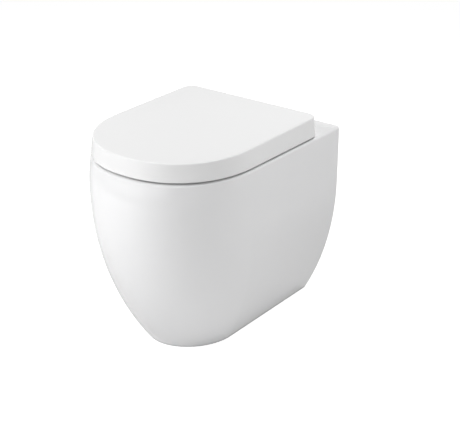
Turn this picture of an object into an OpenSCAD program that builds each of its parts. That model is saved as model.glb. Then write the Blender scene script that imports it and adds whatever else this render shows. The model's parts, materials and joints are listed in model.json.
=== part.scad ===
// Back to wall toilet: a floor-standing ceramic pan whose skirt runs back to the
// wall, with a seat ring, a lid that wraps over it, and a pair of top-fixed hinges.
// Millimetres. X is across, +Y is towards the wall, +Z is up. The origin is on the
// floor, under the middle of the overall depth. Depths are measured from the wall.

/* [Pan] */
// Overall width of the pan
pan_w = 360; // [330:1:400]
// Depth from the wall to the fullest point of the front
pan_d = 520; // [500:1:600]
// Height of the rim and deck above the floor
rim_h = 420; // [400:1:460]
// How far the rim's front stands back from the fullest point
rim_set = 14; // [6:1:30]
// Height at which the sides have become upright
side_tangent_h = 296; // [240:1:360]
// Height of the fullest point of the front
belly_h = 350; // [240:5:370]
// Width of the foot on the floor
foot_w = 205; // [180:1:240]
// Depth of the foot on the floor, from the wall
foot_d = 404; // [370:1:440]
// Depth at which the rim's straight sides turn into the round front
rim_turn_d = 317; // [270:1:340]
// Depth at which the foot's straight sides turn into the round front
foot_turn_d = 294; // [250:1:320]
// Squareness of the round front at the rim, where 2 is an ellipse
rim_squareness = 2.19; // [2:0.01:2.6]
// Squareness of the round front at the foot
foot_squareness = 1.9; // [1.8:0.01:2.6]
// Wall thickness of the skirt
skirt_t = 13; // [10:1:16]
// Thickness of the rim and deck
deck_t = 15; // [12:1:20]
// Radius of the shoulder between skirt and rim
shoulder_r = 6; // [3:1:9]
// Radius of the upright corners at the wall
corner_r = 4; // [2:1:8]
// Width of the pan's back edges beside the opening at the wall
back_lip = 30; // [22:1:38]

/* [Bowl] */
// Width of the rim's land at the sides
side_land = 46; // [40:1:56]
// Width of the rim's land at the front
front_land = 38; // [32:1:48]
// Depth of the deck, from the wall to the bowl's mouth
deck_d = 150; // [142:1:160]
// Corner radius of the bowl's back, in plan
bowl_back_r = 84; // [60:1:88]
// Rounding of the bowl's mouth
mouth_r = 8; // [4:1:12]
// Depth of the flushing ledge below the rim
ledge_drop = 42; // [34:1:50]
// Width of the flushing ledge
ledge_w = 9; // [5:1:12]
// Wall thickness of the bowl
bowl_t = 11; // [8:1:13]
// Width of the sump
sump_w = 78; // [70:1:90]
// Depth to the sump's front
sump_front_d = 316; // [300:1:330]
// Depth to the sump's back
sump_back_d = 214; // [210:1:220]
// Rounding of the sump's floor
sump_r = 14; // [8:1:18]

/* [Trapway] */
// Height of the outlet's centre above the floor
outlet_h = 180; // [170:1:190]
// Outside radius of the outlet spigot
outlet_r = 51; // [48:0.5:55]
// Wall thickness of the outlet spigot
outlet_t = 8; // [6:0.5:10]
// Length of the outlet spigot's bore
outlet_l = 40; // [32:1:44]
// Thickness of the ceramic behind the outlet spigot's bore
outlet_web = 6; // [5:0.5:6]
// Radius of the water passage
trap_r = 26; // [24:0.5:27]
// Wall thickness round the water passage
trap_t = 9; // [7:0.5:10]
// Height of the weir that holds the water back
weir_h = 235; // [225:1:245]
// Depth of the water seal
seal_d = 53; // [50:1:58]
// Radius of the passage's bends
bend_r = 38; // [37:1:40]
// Slope of the rising and falling legs
leg_a = 75; // [72:1:78]

/* [Flush inlet] */
// Height of the flush inlet's centre above the floor
inlet_h = 345; // [335:1:350]
// Radius of the inlet's bore
inlet_r = 27.5; // [25:0.5:30]
// Length of the inlet's bore
inlet_l = 45; // [35:1:60]
// Radius of the channel from the inlet to the bowl
channel_r = 20; // [16:1:22]
// Wall thickness round the inlet and channel
inlet_t = 9; // [7:0.5:10]
// Bore radius of the rubber inlet seal
seal_bore_r = 20; // [18:0.5:22]
// How far the inlet seal stops short of the inlet's end
seal_short = 6; // [4:0.5:10]

/* [Lid] */
// Clear height between the rim and the lid's lower edge
lid_gap = 4; // [3:0.5:6]
// Height of the lid's front, from its lower edge to its top
lid_h = 37.5; // [36:0.5:44]
// How much higher the lid's top is at its back than at its front
lid_rise = 4.5; // [0:0.5:8]
// How far the lid's lower edge stands in from the rim's outline
lid_inset = 0; // [0:0.5:4]
// How far the lid's front stands back from the rim's front
lid_set = 1; // [0:0.5:8]
// Depth of the lid's back edge, from the wall
lid_back_d = 74.5; // [71:0.5:78]
// Thickness of the lid's top
lid_t = 6; // [4:0.5:7]
// Thickness of the lid's skirt
lid_skirt_t = 5; // [4:0.5:6]
// Radius of the lid's top edge
lid_edge_r = 3; // [2:0.5:6]
// How far the lid's skirt leans in over its height
lid_draft = 4.5; // [1:0.5:6]
// Radius of the lid's back corners, in plan
lid_corner_r = 30; // [22:1:40]

/* [Seat] */
// Thickness of the seat ring
seat_t = 24; // [20:1:25]
// Clearance between the seat ring and the lid's skirt
seat_clear = 3.5; // [2:0.5:5]
// Height of the seat's buffers, which is the gap between rim and seat
buffer_h = 5; // [4:0.5:6]
// Radius of the buffers
buffer_r = 6.5; // [5:0.25:7]
// How far the buffers are let into the seat and the lid
buffer_in = 3; // [2:0.5:4]
// Width of the seat's opening
hole_w = 224; // [200:1:232]
// Depth to the front of the seat's opening
hole_front_d = 438; // [425:1:442]
// Depth to the back of the seat's opening
hole_back_d = 166; // [162:1:190]
// Corner radius of the opening's back, in plan
hole_back_r = 78; // [60:1:90]
// Radius of the seat's upper edges
seat_edge_r = 7; // [4:0.5:9]
// How much lower the seat's top is at the opening than at its crown
seat_fall = 3; // [1:0.5:5]
// Clearance between the seat's back edge and the sweep of the lid's skirt
swing_clear = 1; // [0.5:0.25:3]

/* [Hinges] */
// Spacing of the two seat fixings
fixing_spacing = 155; // [140:1:170]
// Depth of the hinge axis and fixings, from the wall
hinge_d = 57; // [54:0.5:60]
// Height of the hinge axis above the deck
hinge_h = 26; // [25:0.5:28]
// Radius of the hinge pins
pin_r = 4; // [3:0.25:4.5]
// Running clearance of the knuckles on the pins
pin_clear = 0.1; // [0.05:0.05:0.2]
// Radius of the knuckles and of the pillars' round tops
knuckle_r = 8.5; // [8:0.25:9]
// Width of the pillars
pillar_w = 16; // [12:1:20]
// Width of the plain knuckles
knuckle_w = 22; // [18:1:26]
// Length of the damper cartridges
damper_l = 26; // [20:1:28]
// Radius of the damper cartridges
damper_r = 6; // [5.5:0.25:6.5]
// Side clearance between pillars and knuckles
side_clear = 0.5; // [0.3:0.1:1]
// Radius of the hinge bases
base_r = 20; // [17:0.5:22]
// Thickness of the hinge bases
base_t = 4; // [3:0.5:5]
// Thickness of the gaskets under the hinge bases
gasket_t = 1.5; // [1:0.25:2]
// Radius of the fixing holes in the deck
fixing_hole_r = 7.5; // [7:0.25:9]
// Radius of the studs
stud_r = 3; // [2.5:0.25:3.5]
// Length of the rubber plugs below the deck's top
plug_l = 34; // [28:1:40]
// Thickness of the hinge arms' plates
arm_t = 4; // [3:0.5:5]
// Reach of the hinge arms' plates in front of the axis
arm_reach = 84; // [76:1:92]
// Radius of the arm screws' shanks
screw_r = 2; // [1.5:0.25:2.25]

/* [Floor brackets] */
// Depth of the brackets' centre, from the wall
bracket_d = 140; // [110:1:160]
// Height of the clamp screws above the floor
clamp_h = 45; // [42:1:52]
// Width of the brackets
bracket_w = 46; // [40:1:60]
// Thickness of the brackets
bracket_t = 4; // [3:0.5:5]
// Length of the brackets' feet, inward from the upright
bracket_foot = 44; // [38:1:50]
// Radius of the floor screw holes
floor_hole_r = 4.5; // [3.5:0.25:5.5]
// Distance of the ceramic bosses' faces from the middle of the pan
boss_x = 86; // [82:1:88]
// Radius of the ceramic bosses
boss_r = 15; // [13:0.5:17]
// Radius of the clamp screws
clamp_r = 3; // [2.5:0.25:3.5]
// Wall thickness of the sleeves round the clamp screws
sleeve_t = 3; // [2:0.25:3.5]
// Length of the sleeves
sleeve_l = 16; // [12:1:18]

/* [Hidden] */
$fn = 48;

// Colours
ceramic = "#f2f3f4";
plastic = "#eeefef";
rubber = "#3c3e40";
steel = "#b9bcc0";
brass = "#c9a54e";
nylon = "#d8d8d2";
// Clearances of the small fits, and how far a cutter runs past what it cuts
fit = 0.15;
past = 1;
// How far two cutters of one hole run into each other
lap = 0.015;

// ---- Places worked out from the driving sizes ----
wall_y = pan_d / 2;
rim_d = pan_d - rim_set;
side_inset = (pan_w - foot_w) / 2;
side_r = (side_tangent_h ^ 2 + side_inset ^ 2) / (2 * side_inset);
front_inset = pan_d - foot_d;
front_r = (belly_h ^ 2 + front_inset ^ 2) / (2 * front_inset);
lean_h = rim_h - belly_h;
lean_r = (lean_h ^ 2 + rim_set ^ 2) / (2 * rim_set);
mouth_w = pan_w / 2 - side_land;
mouth_front_d = rim_d - front_land;
ledge_h = rim_h - ledge_drop;
sump_h = weir_h - seal_d - 2 * trap_r;
sump_mid_d = (sump_front_d + sump_back_d) / 2;
// Corner radius of the sump, which leaves a narrow flat across its back
sump_flat = 8;
sump_corner_r = (sump_w - sump_flat) / 2;
hinge_y = wall_y - hinge_d;
hinge_z = rim_h + hinge_h;
arm_front_y = hinge_y - arm_reach;
fixing_x = fixing_spacing / 2;
pillar_in = fixing_x - pillar_w / 2;
pillar_out = fixing_x + pillar_w / 2;
lid_low = rim_h + lid_gap;
lid_top = lid_low + lid_h;
lid_w = pan_w / 2 - lid_inset;
lid_front_d = rim_d - lid_set;
seat_low = rim_h + buffer_h;
seat_top = seat_low + seat_t;
seat_w = lid_w - lid_draft - lid_skirt_t - seat_clear;
seat_front_d = lid_front_d - lid_draft - lid_skirt_t - seat_clear;
lid_in_d = lid_back_d + lid_skirt_t + lid_draft;
seat_back_d = hinge_d + norm([lid_in_d - hinge_d, hinge_z - lid_low]) + swing_clear;
base_low = rim_h + gasket_t;

// A place that lies a given depth in front of the wall
function wy(d) = wall_y - d;
function mix(a, b, t) = a + (b - a) * t;
// How far an arc of radius r has come in at a distance h from its tangent point
function arc_in(r, h) = r - sqrt(r * r - h * h);
// Half width of the skirt's outside at height z
function side_at(z) = pan_w / 2 - arc_in(side_r, max(0, side_tangent_h - z));
// Depth of the skirt's front at height z
function front_at(z) = pan_d -
  (z < belly_h ? arc_in(front_r, belly_h - z) : arc_in(lean_r, z - belly_h));

// ---- Outlines and lofts ----
// Steps along half of an outline: back edge, back corner, side and round front
back_n = 3;
corner_n = 6;
side_n = 3;
front_n = 15;

// Right half of a D-shaped outline, from the middle of its back to its front tip
function half_outline(w, front, back, rc, turn, sq) = [
  for (i = [0:back_n - 1]) [(w - rc) * i / back_n, wy(back)],
  for (i = [0:corner_n - 1]) let (u = 90 * i / corner_n)
    [w - rc + rc * sin(u), wy(back + rc) + rc * cos(u)],
  for (i = [0:side_n - 1]) [w, mix(wy(back + rc), wy(turn), i / side_n)],
  for (i = [0:front_n]) let (u = 90 * i / front_n)
    [w * cos(u) ^ (2 / sq), wy(turn + (front - turn) * sin(u) ^ (2 / sq))]
];
function mirrored(half) = concat(half,
  [for (i = [len(half) - 2:-1:1]) [-half[i][0], half[i][1]]]);
function outline(w, front, back, rc, turn, sq) =
  mirrored(half_outline(w, front, back, rc, turn, sq));
function at_z(pts, z) = [for (p = pts) [p[0], p[1], z]];

// A solid through a list of rings with equal counts of points. A closed one joins
// its last ring to its first, and an open one is capped at both ends from a middle.
module loft(rings, closed = false) {
  n = len(rings[0]);
  m = len(rings);
  steps = closed ? m : m - 1;
  sides = [for (j = [0:steps - 1], i = [0:n - 1])
    let (a = j * n, b = ((j + 1) % m) * n, k = (i + 1) % n)
    each [[a + i, a + k, b + k], [a + i, b + k, b + i]]];
  last = (m - 1) * n;
  caps = closed ? [] : [for (i = [0:n - 1]) let (k = (i + 1) % n)
    each [[m * n, k, i], [m * n + 1, last + i, last + k]]];
  mids = closed ? [] : [middle(rings[0]), middle(rings[m - 1])];
  polyhedron(concat([for (r = rings) each r], mids), concat(sides, caps), convexity = 10);
}
// The point halfway between a ring's first point and the one opposite it
function middle(ring) = (ring[0] + ring[len(ring) / 2]) / 2;

module each_side() {
  for (s = [-1, 1]) translate([s * fixing_x, hinge_y, 0]) children();
}

// ---- Pan ----
// Outline of the skirt at height z, drawn in by t, and by b at the back
function skirt_outline(z, t, b) = let (k = z / rim_h)
  outline(side_at(z) - t, front_at(z) - t, b, corner_r,
    mix(foot_turn_d, rim_turn_d, k), mix(foot_squareness, rim_squareness, k));
// One ring of the skirt at height z, drawn in by t all round
function skirt_ring(z, t) = at_z(skirt_outline(z, t, t), z);
// The rounded shoulder, which leaves the back edge at the wall sharp
function shoulder_ring(u) = let (z = rim_h - shoulder_r)
  at_z(skirt_outline(z, shoulder_r * (1 - cos(u)), 0), z + shoulder_r * sin(u));
// One ring of the bowl, from 0 at the sump to 1 at the ledge, grown by t all round
function bowl_ring(k, t) = let (s = (1 - cos(180 * k)) / 2,
    w = mix(sump_w / 2, mouth_w - ledge_w, s),
    front = mix(sump_front_d, mouth_front_d - ledge_w, s),
    back = mix(sump_back_d, deck_d + ledge_w, s),
    turn = mix(sump_mid_d, rim_turn_d, s))
  at_z(outline(w + t, front + t, back - t,
    mix(sump_corner_r, bowl_back_r - ledge_w, s) + t, turn, rim_squareness),
    mix(sump_h + sump_r, ledge_h - ledge_w, k));
// The sump's rounded floor: u runs from 0 at its wall to 90 at its floor
function sump_ring(u, t) = let (g = t - sump_r * (1 - cos(u)))
  at_z(outline(sump_w / 2 + g, sump_front_d + g, sump_back_d - g,
    sump_corner_r + g, sump_mid_d, rim_squareness),
    sump_h + sump_r - (sump_r + t) * sin(u));
// The bowl's mouth, drawn in by g
function mouth_ring(z, g) = at_z(outline(mouth_w - g, mouth_front_d - g, deck_d + g,
  bowl_back_r - g, rim_turn_d, rim_squareness), z);

skirt_n = 16;
inner_n = 7;
bowl_n = 10;
sump_n = 3;
round_n = 3;
under_h = rim_h - deck_t;

// The outside of the bowl, the underside of the deck and both faces of the skirt
module pan_body() {
  loft(concat(
    [for (i = [sump_n:-1:1]) sump_ring(90 * i / sump_n, bowl_t)],
    [for (i = [0:bowl_n]) bowl_ring(i / bowl_n, bowl_t)],
    [mouth_ring(under_h, -bowl_t)],
    [for (i = [inner_n:-1:0]) let (z = under_h * i / inner_n) skirt_ring(z, skirt_t)],
    [for (i = [0:skirt_n]) let (z = (rim_h - shoulder_r) * i / skirt_n)
      skirt_ring(z, 0)],
    [for (i = [1:round_n]) shoulder_ring(90 * i / round_n)]));
}
// The hollow of the bowl, with the rounded mouth, the flushing ledge and the sump
module bowl_hollow() {
  loft(concat(
    [for (i = [sump_n:-1:1]) sump_ring(90 * i / sump_n, 0)],
    [for (i = [0:bowl_n]) bowl_ring(i / bowl_n, 0)],
    [mouth_ring(ledge_h, 0)],
    [for (i = [round_n:-1:0]) let (u = 90 * i / round_n)
      mouth_ring(rim_h - mouth_r * (1 - cos(u)), mouth_r * sin(u) - mouth_r)],
    [mouth_ring(rim_h + past, -mouth_r - past)]));
}

// The water passage out of the sump, up over the weir and down to the outlet
crest_h = weir_h + trap_r;
dip_h = sump_h + trap_r;
bend_rise = bend_r * (1 - cos(leg_a));
bend_run = bend_r * sin(leg_a);
outlet_y = wy(outlet_l);
fall = crest_h - outlet_h - 2 * bend_rise;
rise = crest_h - dip_h - 2 * bend_rise;
crest_y = outlet_y - 2 * bend_run - fall / tan(leg_a);
turn_y = crest_y - 2 * bend_run - rise / tan(leg_a);
bend_n = 5;
// Places along the passage's middle line: y, z and slope
function passage_line(start_y) = concat(
  [[start_y, dip_h, 0]],
  [for (i = [0:bend_n]) let (u = leg_a * i / bend_n)
    [turn_y + bend_r * sin(u), dip_h + bend_r * (1 - cos(u)), u]],
  [for (i = [-bend_n:bend_n]) let (u = leg_a * i / bend_n)
    [crest_y + bend_r * sin(u), crest_h - bend_r * (1 - cos(u)), -u]],
  [for (i = [-bend_n:0]) let (u = leg_a * i / bend_n)
    [outlet_y + bend_r * sin(u), outlet_h + bend_r * (1 - cos(u)), u]],
  [[outlet_y + past, outlet_h, 0]]);
// A round bar of radius r along the passage
bar_n = 24;
module passage(r, start_y) {
  loft([for (p = passage_line(start_y)) [for (i = [0:bar_n - 1]) let (u = 360 * i / bar_n)
    [r * cos(u), p[0] - r * sin(u) * sin(p[2]), p[1] + r * sin(u) * cos(p[2])]]]);
}

module along_y(y, z, r, l) {
  translate([0, y, z]) rotate([-90, 0, 0]) cylinder(r = r, h = l);
}
// The opening in the pan's back, which follows the sides of the skirt
open_n = 6;
// Height of the web between the opening and the flush inlet
inlet_web = 12;
open_top = inlet_h - inlet_r - inlet_t - inlet_web;
module back_opening() {
  right = [for (i = [0:open_n]) let (z = open_top * i / open_n)
    [side_at(z) - back_lip, z]];
  pts = concat([[right[0][0], -past]], right,
    [for (i = [open_n:-1:0]) [-right[i][0], right[i][1]]], [[-right[0][0], -past]]);
  translate([0, wall_y + past, 0]) rotate([90, 0, 0])
    linear_extrude(skirt_t + 2 * past) polygon(pts);
}

channel_end = wy(deck_d + 2 * ledge_w);
// How far the bosses stop short of the skirt's outside, and how much deeper than
// the sleeves their holes are
boss_short = 2;
boss_spare = 2;
boss_end = side_at(clamp_h - boss_r) - boss_short;
module pan() {
  color(ceramic) difference() {
    union() {
      difference() {
        pan_body();
        back_opening();
      }
      // Trapway and outlet spigot
      passage(trap_r + trap_t, wy(sump_back_d + sump_r));
      along_y(outlet_y - outlet_web, outlet_h, outlet_r, outlet_l + outlet_web);
      // Flush inlet and the channel to the bowl
      along_y(wy(inlet_l + inlet_t), inlet_h, inlet_r + inlet_t, inlet_l + inlet_t);
      along_y(channel_end, inlet_h, channel_r + inlet_t, wy(inlet_l) - channel_end);
      // Bosses for the clamp screws
      for (s = [-1, 1]) translate([s * boss_x, wy(bracket_d), clamp_h])
        rotate([0, s * 90, 0]) cylinder(r = boss_r, h = boss_end - boss_x);
    }
    bowl_hollow();
    passage(trap_r, wy(sump_back_d + sump_w / 2));
    along_y(outlet_y, outlet_h, outlet_r - outlet_t, outlet_l + past);
    along_y(wy(inlet_l), inlet_h, inlet_r, inlet_l + past);
    along_y(channel_end - past, inlet_h, channel_r, wy(inlet_l) - channel_end + 2 * past);
    each_side() translate([0, 0, under_h - past])
      cylinder(r = fixing_hole_r, h = deck_t + 2 * past);
    for (s = [-1, 1]) translate([s * (boss_x - past), wy(bracket_d), clamp_h])
      rotate([0, s * 90, 0]) cylinder(r = clamp_r + sleeve_t + fit, h = sleeve_l + boss_spare + past);
  }
}

// Rubber seal that takes the flush pipe in the inlet, with one groove round it and a
// slight taper to its end
seal_groove = 2.5;
seal_groove_at = 8;
seal_groove_w = 4;
seal_groove_slope = 2;
seal_taper = 1;
module inlet_seal() {
  seal_l = inlet_l - seal_short;
  groove_end = seal_groove_at + seal_groove_slope + seal_groove_w;
  color(rubber) translate([0, wall_y, inlet_h]) rotate([90, 0, 0])
    rotate_extrude() polygon([
      [seal_bore_r, 0], [inlet_r - fit, 0], [inlet_r - fit, seal_groove_at],
      [inlet_r - seal_groove, seal_groove_at + seal_groove_slope],
      [inlet_r - seal_groove, groove_end],
      [inlet_r - fit, groove_end + seal_groove_slope],
      [inlet_r - seal_taper, seal_l], [seal_bore_r, seal_l]]);
}

// ---- Floor brackets ----
sleeve_flange = 1.5;
sleeve_brim = 4;
sleeve_flange_r = clamp_r + sleeve_t + sleeve_brim;
head_r = 2 * clamp_r;
head_h = 4;
socket_r = 0.9 * clamp_r;
socket_deep = 2.4;
upright_over = 4;
upright_h = clamp_h + sleeve_flange_r + upright_over;
web_short = 8;
web_reach = 14;
upright_x = boss_x - sleeve_flange - bracket_t;
floor_hole_in = 24;
floor_hole_pitch = 24;

// Turns what is drawn upwards from the clamp screw's start to point outwards on side s
module clamp_axis(s, x) {
  translate([s * x, wy(bracket_d), clamp_h]) rotate([0, s * 90, 0]) children();
}
// Angle bracket of folded plate with a web at each end
module floor_bracket(s) {
  color(steel) translate([0, wy(bracket_d), 0]) scale([s, 1, 1]) difference() {
    union() {
      translate([upright_x, -bracket_w / 2, 0]) cube([bracket_t, bracket_w, upright_h]);
      translate([upright_x + bracket_t - bracket_foot, -bracket_w / 2, 0])
        cube([bracket_foot, bracket_w, bracket_t]);
      for (e = [-1, 1]) translate([0, e * (bracket_w - bracket_t) / 2 + bracket_t / 2, 0])
        rotate([90, 0, 0]) linear_extrude(bracket_t) polygon([
          [upright_x, 0], [upright_x, upright_h - web_short],
          [upright_x - web_reach, bracket_t], [upright_x - web_reach, 0]]);
    }
    for (e = [-1, 1])
      translate([upright_x - floor_hole_in, e * floor_hole_pitch / 2, -past])
        cylinder(r = floor_hole_r, h = bracket_t + 2 * past);
    translate([upright_x - past, 0, clamp_h]) rotate([0, 90, 0])
      cylinder(r = clamp_r + fit, h = bracket_t + 2 * past);
  }
}
module floor_bracket_left() { floor_bracket(-1); }
module floor_bracket_right() { floor_bracket(1); }
// Flanged nylon sleeves in the ceramic bosses
module clamp_sleeves() {
  color(nylon) for (s = [-1, 1]) clamp_axis(s, boss_x - sleeve_flange)
    rotate_extrude() polygon([[clamp_r, 0], [sleeve_flange_r, 0],
      [sleeve_flange_r, sleeve_flange], [clamp_r + sleeve_t, sleeve_flange],
      [clamp_r + sleeve_t, sleeve_flange + sleeve_l], [clamp_r, sleeve_flange + sleeve_l]]);
}
// Socket-head screws that draw the pan onto the brackets
module clamp_screws() {
  color(steel) for (s = [-1, 1]) clamp_axis(s, upright_x - head_h) difference() {
    union() {
      cylinder(r = head_r, h = head_h);
      cylinder(r = clamp_r, h = head_h + bracket_t + sleeve_flange + sleeve_l);
    }
    translate([0, 0, -past]) cylinder(r = socket_r, h = socket_deep + past, $fn = 6);
  }
}

// ---- Hinges ----
stud_in = 12;
stud_spare = 3;
nut_h = 8;
nut_draft = 1;
plug_flange_r = 11;
plug_swell = 3;
plug_swell_h = 5;
plug_slope = 2;
plug_sleeve = 4;
stud_low = rim_h - plug_l - nut_h - stud_spare;
knuckle_gap = pillar_out + side_clear;
seat_in = pillar_in - side_clear - knuckle_w;
damper_cap = 2;

module along_x(x, r, l) {
  translate([x, hinge_y, hinge_z]) rotate([0, 90, 0]) cylinder(r = r, h = l);
}
// Round base plate with the pillar that carries the pin
module hinge_base(s) {
  color(steel) difference() {
    union() {
      translate([s * fixing_x, hinge_y, base_low]) cylinder(r = base_r, h = base_t);
      translate([s * fixing_x - pillar_w / 2, hinge_y - knuckle_r, base_low + base_t / 2])
        cube([pillar_w, 2 * knuckle_r, hinge_z - base_low - base_t / 2]);
      along_x(s * fixing_x - pillar_w / 2, knuckle_r, pillar_w);
    }
    along_x(s * fixing_x - pillar_w / 2 - past, pin_r, pillar_w + 2 * past);
    translate([s * fixing_x, hinge_y, base_low - past]) cylinder(r = stud_r, h = stud_in + past);
  }
}
module hinge_base_left() { hinge_base(-1); }
module hinge_base_right() { hinge_base(1); }
// Rubber rings between the bases and the glazed deck
module base_gaskets() {
  color(rubber) each_side() translate([0, 0, rim_h]) difference() {
    cylinder(r = base_r, h = gasket_t);
    translate([0, 0, -past]) cylinder(r = plug_flange_r + fit, h = gasket_t + 2 * past);
  }
}
module hinge_stud(s) {
  color(steel) translate([s * fixing_x, hinge_y, stud_low])
    cylinder(r = stud_r, h = base_low + stud_in - stud_low);
}
module hinge_stud_left() { hinge_stud(-1); }
module hinge_stud_right() { hinge_stud(1); }
// Rubber plug, swollen under the deck as it is when the stud is tight
module expanding_plug(s) {
  body_r = fixing_hole_r - fit;
  swell_r = fixing_hole_r + plug_swell;
  swell_top = under_h - fit - plug_slope;
  color(rubber) translate([s * fixing_x, hinge_y, 0]) rotate_extrude() polygon([
    [stud_r, base_low], [plug_flange_r, base_low], [plug_flange_r, rim_h],
    [body_r, rim_h], [body_r, under_h - fit], [swell_r, swell_top],
    [swell_r, swell_top - plug_swell_h], [body_r, rim_h - plug_l + plug_sleeve],
    [body_r, rim_h - plug_l], [stud_r, rim_h - plug_l]]);
}
module expanding_plug_left() { expanding_plug(-1); }
module expanding_plug_right() { expanding_plug(1); }
// Brass nuts that pull up on the plugs
module cone_nuts() {
  color(brass) each_side() translate([0, 0, rim_h - plug_l - nut_h]) difference() {
    cylinder(r1 = fixing_hole_r - nut_draft, r2 = fixing_hole_r - 2 * nut_draft, h = nut_h);
    translate([0, 0, -past]) cylinder(r = stud_r, h = nut_h + 2 * past);
  }
}
module hinge_pin(s) {
  span = pillar_w + 2 * side_clear + 2 * knuckle_w;
  color(steel) along_x(s * fixing_x - span / 2, pin_r, span);
}
module hinge_pin_left() { hinge_pin(-1); }
module hinge_pin_right() { hinge_pin(1); }

// A knuckle with its web and plate, whose underside rises by a slope. It starts at x and
// runs to x + knuckle_w. One with a damper goes on for the cartridge's length, on side e.
module hinge_arm(x, profile, damper, e, slope = 0) {
  extra = damper ? damper_l + damper_cap : 0;
  difference() {
    union() {
      along_x(e < 0 ? x - extra : x, knuckle_r, knuckle_w + extra);
      translate([x, 0, 0]) rotate([90, 0, 90]) linear_extrude(knuckle_w) polygon(profile);
    }
    along_x(x - (damper ? 0 : past), pin_r + pin_clear, knuckle_w + (damper ? 0 : 2 * past));
    if (damper) {
      along_x(e < 0 ? x - damper_l : x + knuckle_w - fit, damper_r, damper_l + fit);
      along_x(e < 0 ? x - fit : x - past, pin_r + pin_clear, knuckle_w + past + fit);
    }
    arm_holes(x + knuckle_w / 2, profile[0][1], slope) {
      screw_shape(screw_r, past);
      translate([0, 0, -past]) cylinder(r = screw_head_r, h = past + lap);
    }
  }
}
// The arm screws stand in from the plate's front, a pitch apart
screw_in = 11;
screw_pitch = 24;
screw_head_r = 1.9 * screw_r;
// Places what is drawn at each screw, from height z at the plate's front
module arm_holes(x, z, slope = 0) {
  for (d = [screw_in, screw_in + screw_pitch])
    translate([x, arm_front_y + d, z + slope * d]) children();
}
// Countersunk screw from below: its shank's radius, and its length past the plate
module screw_shape(r, l) {
  rotate_extrude() polygon([[0, 0], [screw_head_r, 0], [r, screw_head_r - r],
    [r, arm_t + l], [0, arm_t + l]]);
}

// Where the arms bend towards their knuckles
neck_in = 6;
neck_rise = 1;
heel = 2;

// ---- Seat ----
seat_profile = [
  [arm_front_y, seat_low], [wy(seat_back_d), seat_low],
  [wy(lid_back_d) - neck_in, seat_low + neck_rise], [hinge_y, hinge_z - knuckle_r], [hinge_y, hinge_z],
  [wy(seat_back_d) + fit, hinge_z], [wy(seat_back_d) + fit, seat_low + arm_t],
  [arm_front_y, seat_low + arm_t]];
seat_arm_x = seat_in;
seat_screw_l = 12;

function seat_outer(g, z) = at_z(outline(seat_w - g, seat_front_d - g, seat_back_d + g,
  max(lid_corner_r - lid_skirt_t - g / 2, 1), rim_turn_d, rim_squareness), z);
function seat_inner(g, z) = at_z(outline(hole_w / 2 + g, hole_front_d + g, hole_back_d - g,
  hole_back_r + g, rim_turn_d, rim_squareness), z);
function between(a, b, t) = [for (i = [0:len(a) - 1]) mix(a[i], b[i], t)];
seat_bevel = 2;
seat_round_n = 3;
// How far the crown stands above the outer edge, and where it lies across the seat
crown = 1;
crown_at = 0.45;

module seat_ring() {
  top = seat_top - crown;
  inner_top = seat_top - seat_fall;
  color(plastic) difference() {
    loft(concat(
      [seat_outer(seat_bevel, seat_low), seat_outer(0, seat_low + seat_bevel)],
      [for (i = [0:seat_round_n]) let (u = 90 * i / seat_round_n)
        seat_outer(seat_edge_r * (1 - cos(u)), top - seat_edge_r * (1 - sin(u)))],
      [between(seat_outer(0, seat_top), seat_inner(0, seat_top), crown_at)],
      [for (i = [seat_round_n:-1:0]) let (u = 90 * i / seat_round_n)
        seat_inner(seat_edge_r * (1 - cos(u)), inner_top - seat_edge_r * (1 - sin(u)))],
      [seat_inner(0, seat_low + seat_bevel), seat_inner(seat_bevel, seat_low)]),
      closed = true);
    // Pockets and pilot holes for the arms, and recesses for the buffers
    for (s = [-1, 1]) {
      translate([s * (seat_arm_x + knuckle_w / 2) - knuckle_w / 2 - fit,
        arm_front_y - fit, seat_low - past])
        cube([knuckle_w + 2 * fit, arm_reach, arm_t + past]);
      arm_holes(s * (seat_arm_x + knuckle_w / 2), seat_low + arm_t - past)
        cylinder(r = screw_r, h = seat_screw_l + 2 * past);
    }
    for (p = seat_buffer_places) translate([p[0], p[1], seat_low - past])
      cylinder(r = buffer_r, h = buffer_in + past);
  }
}
// Steps along the outline at which the buffers sit
side_step = back_n + corner_n + 1;
front_step = back_n + corner_n + side_n + 10;
// How far across the seat the buffers sit, as a share of its width
seat_buffer_at = 0.16;
lid_buffer_at = 0.45;
function places(t) = let (line = between(seat_outer(0, 0), seat_inner(0, 0), t))
  [for (i = [side_step, front_step]) each [line[i], line[len(line) - i]]];
seat_buffer_places = places(seat_buffer_at);
lid_buffer_places = places(lid_buffer_at);

module seat_arm_left() {
  color(steel) hinge_arm(-seat_arm_x - knuckle_w, seat_profile, true, 1);
}
module seat_arm_right() {
  color(steel) hinge_arm(seat_arm_x, seat_profile, false, -1);
}
module seat_arm_screws() {
  color(steel) for (s = [-1, 1])
    arm_holes(s * (seat_arm_x + knuckle_w / 2), seat_low) screw_shape(screw_r, seat_screw_l);
}
// Rotary damper cartridge in the long knuckle of the left seat arm
module seat_damper() {
  color(plastic) along_x(-seat_arm_x + fit, damper_r, damper_l - fit);
}
// Buffers that the seat rests on
module seat_buffers() {
  color(rubber) for (p = seat_buffer_places) translate([p[0], p[1], rim_h])
    cylinder(r = buffer_r, h = buffer_h + buffer_in);
}

// ---- Lid ----
// The lid's top and underside rise evenly from its front to its back
lid_slope = lid_rise / (lid_front_d - lid_back_d);
lid_under = lid_top - lid_t;
function rise_at(y) = lid_slope * (y - wy(lid_front_d));
function under_at(y) = lid_under + rise_at(y);
lid_fillet = 3;
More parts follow.
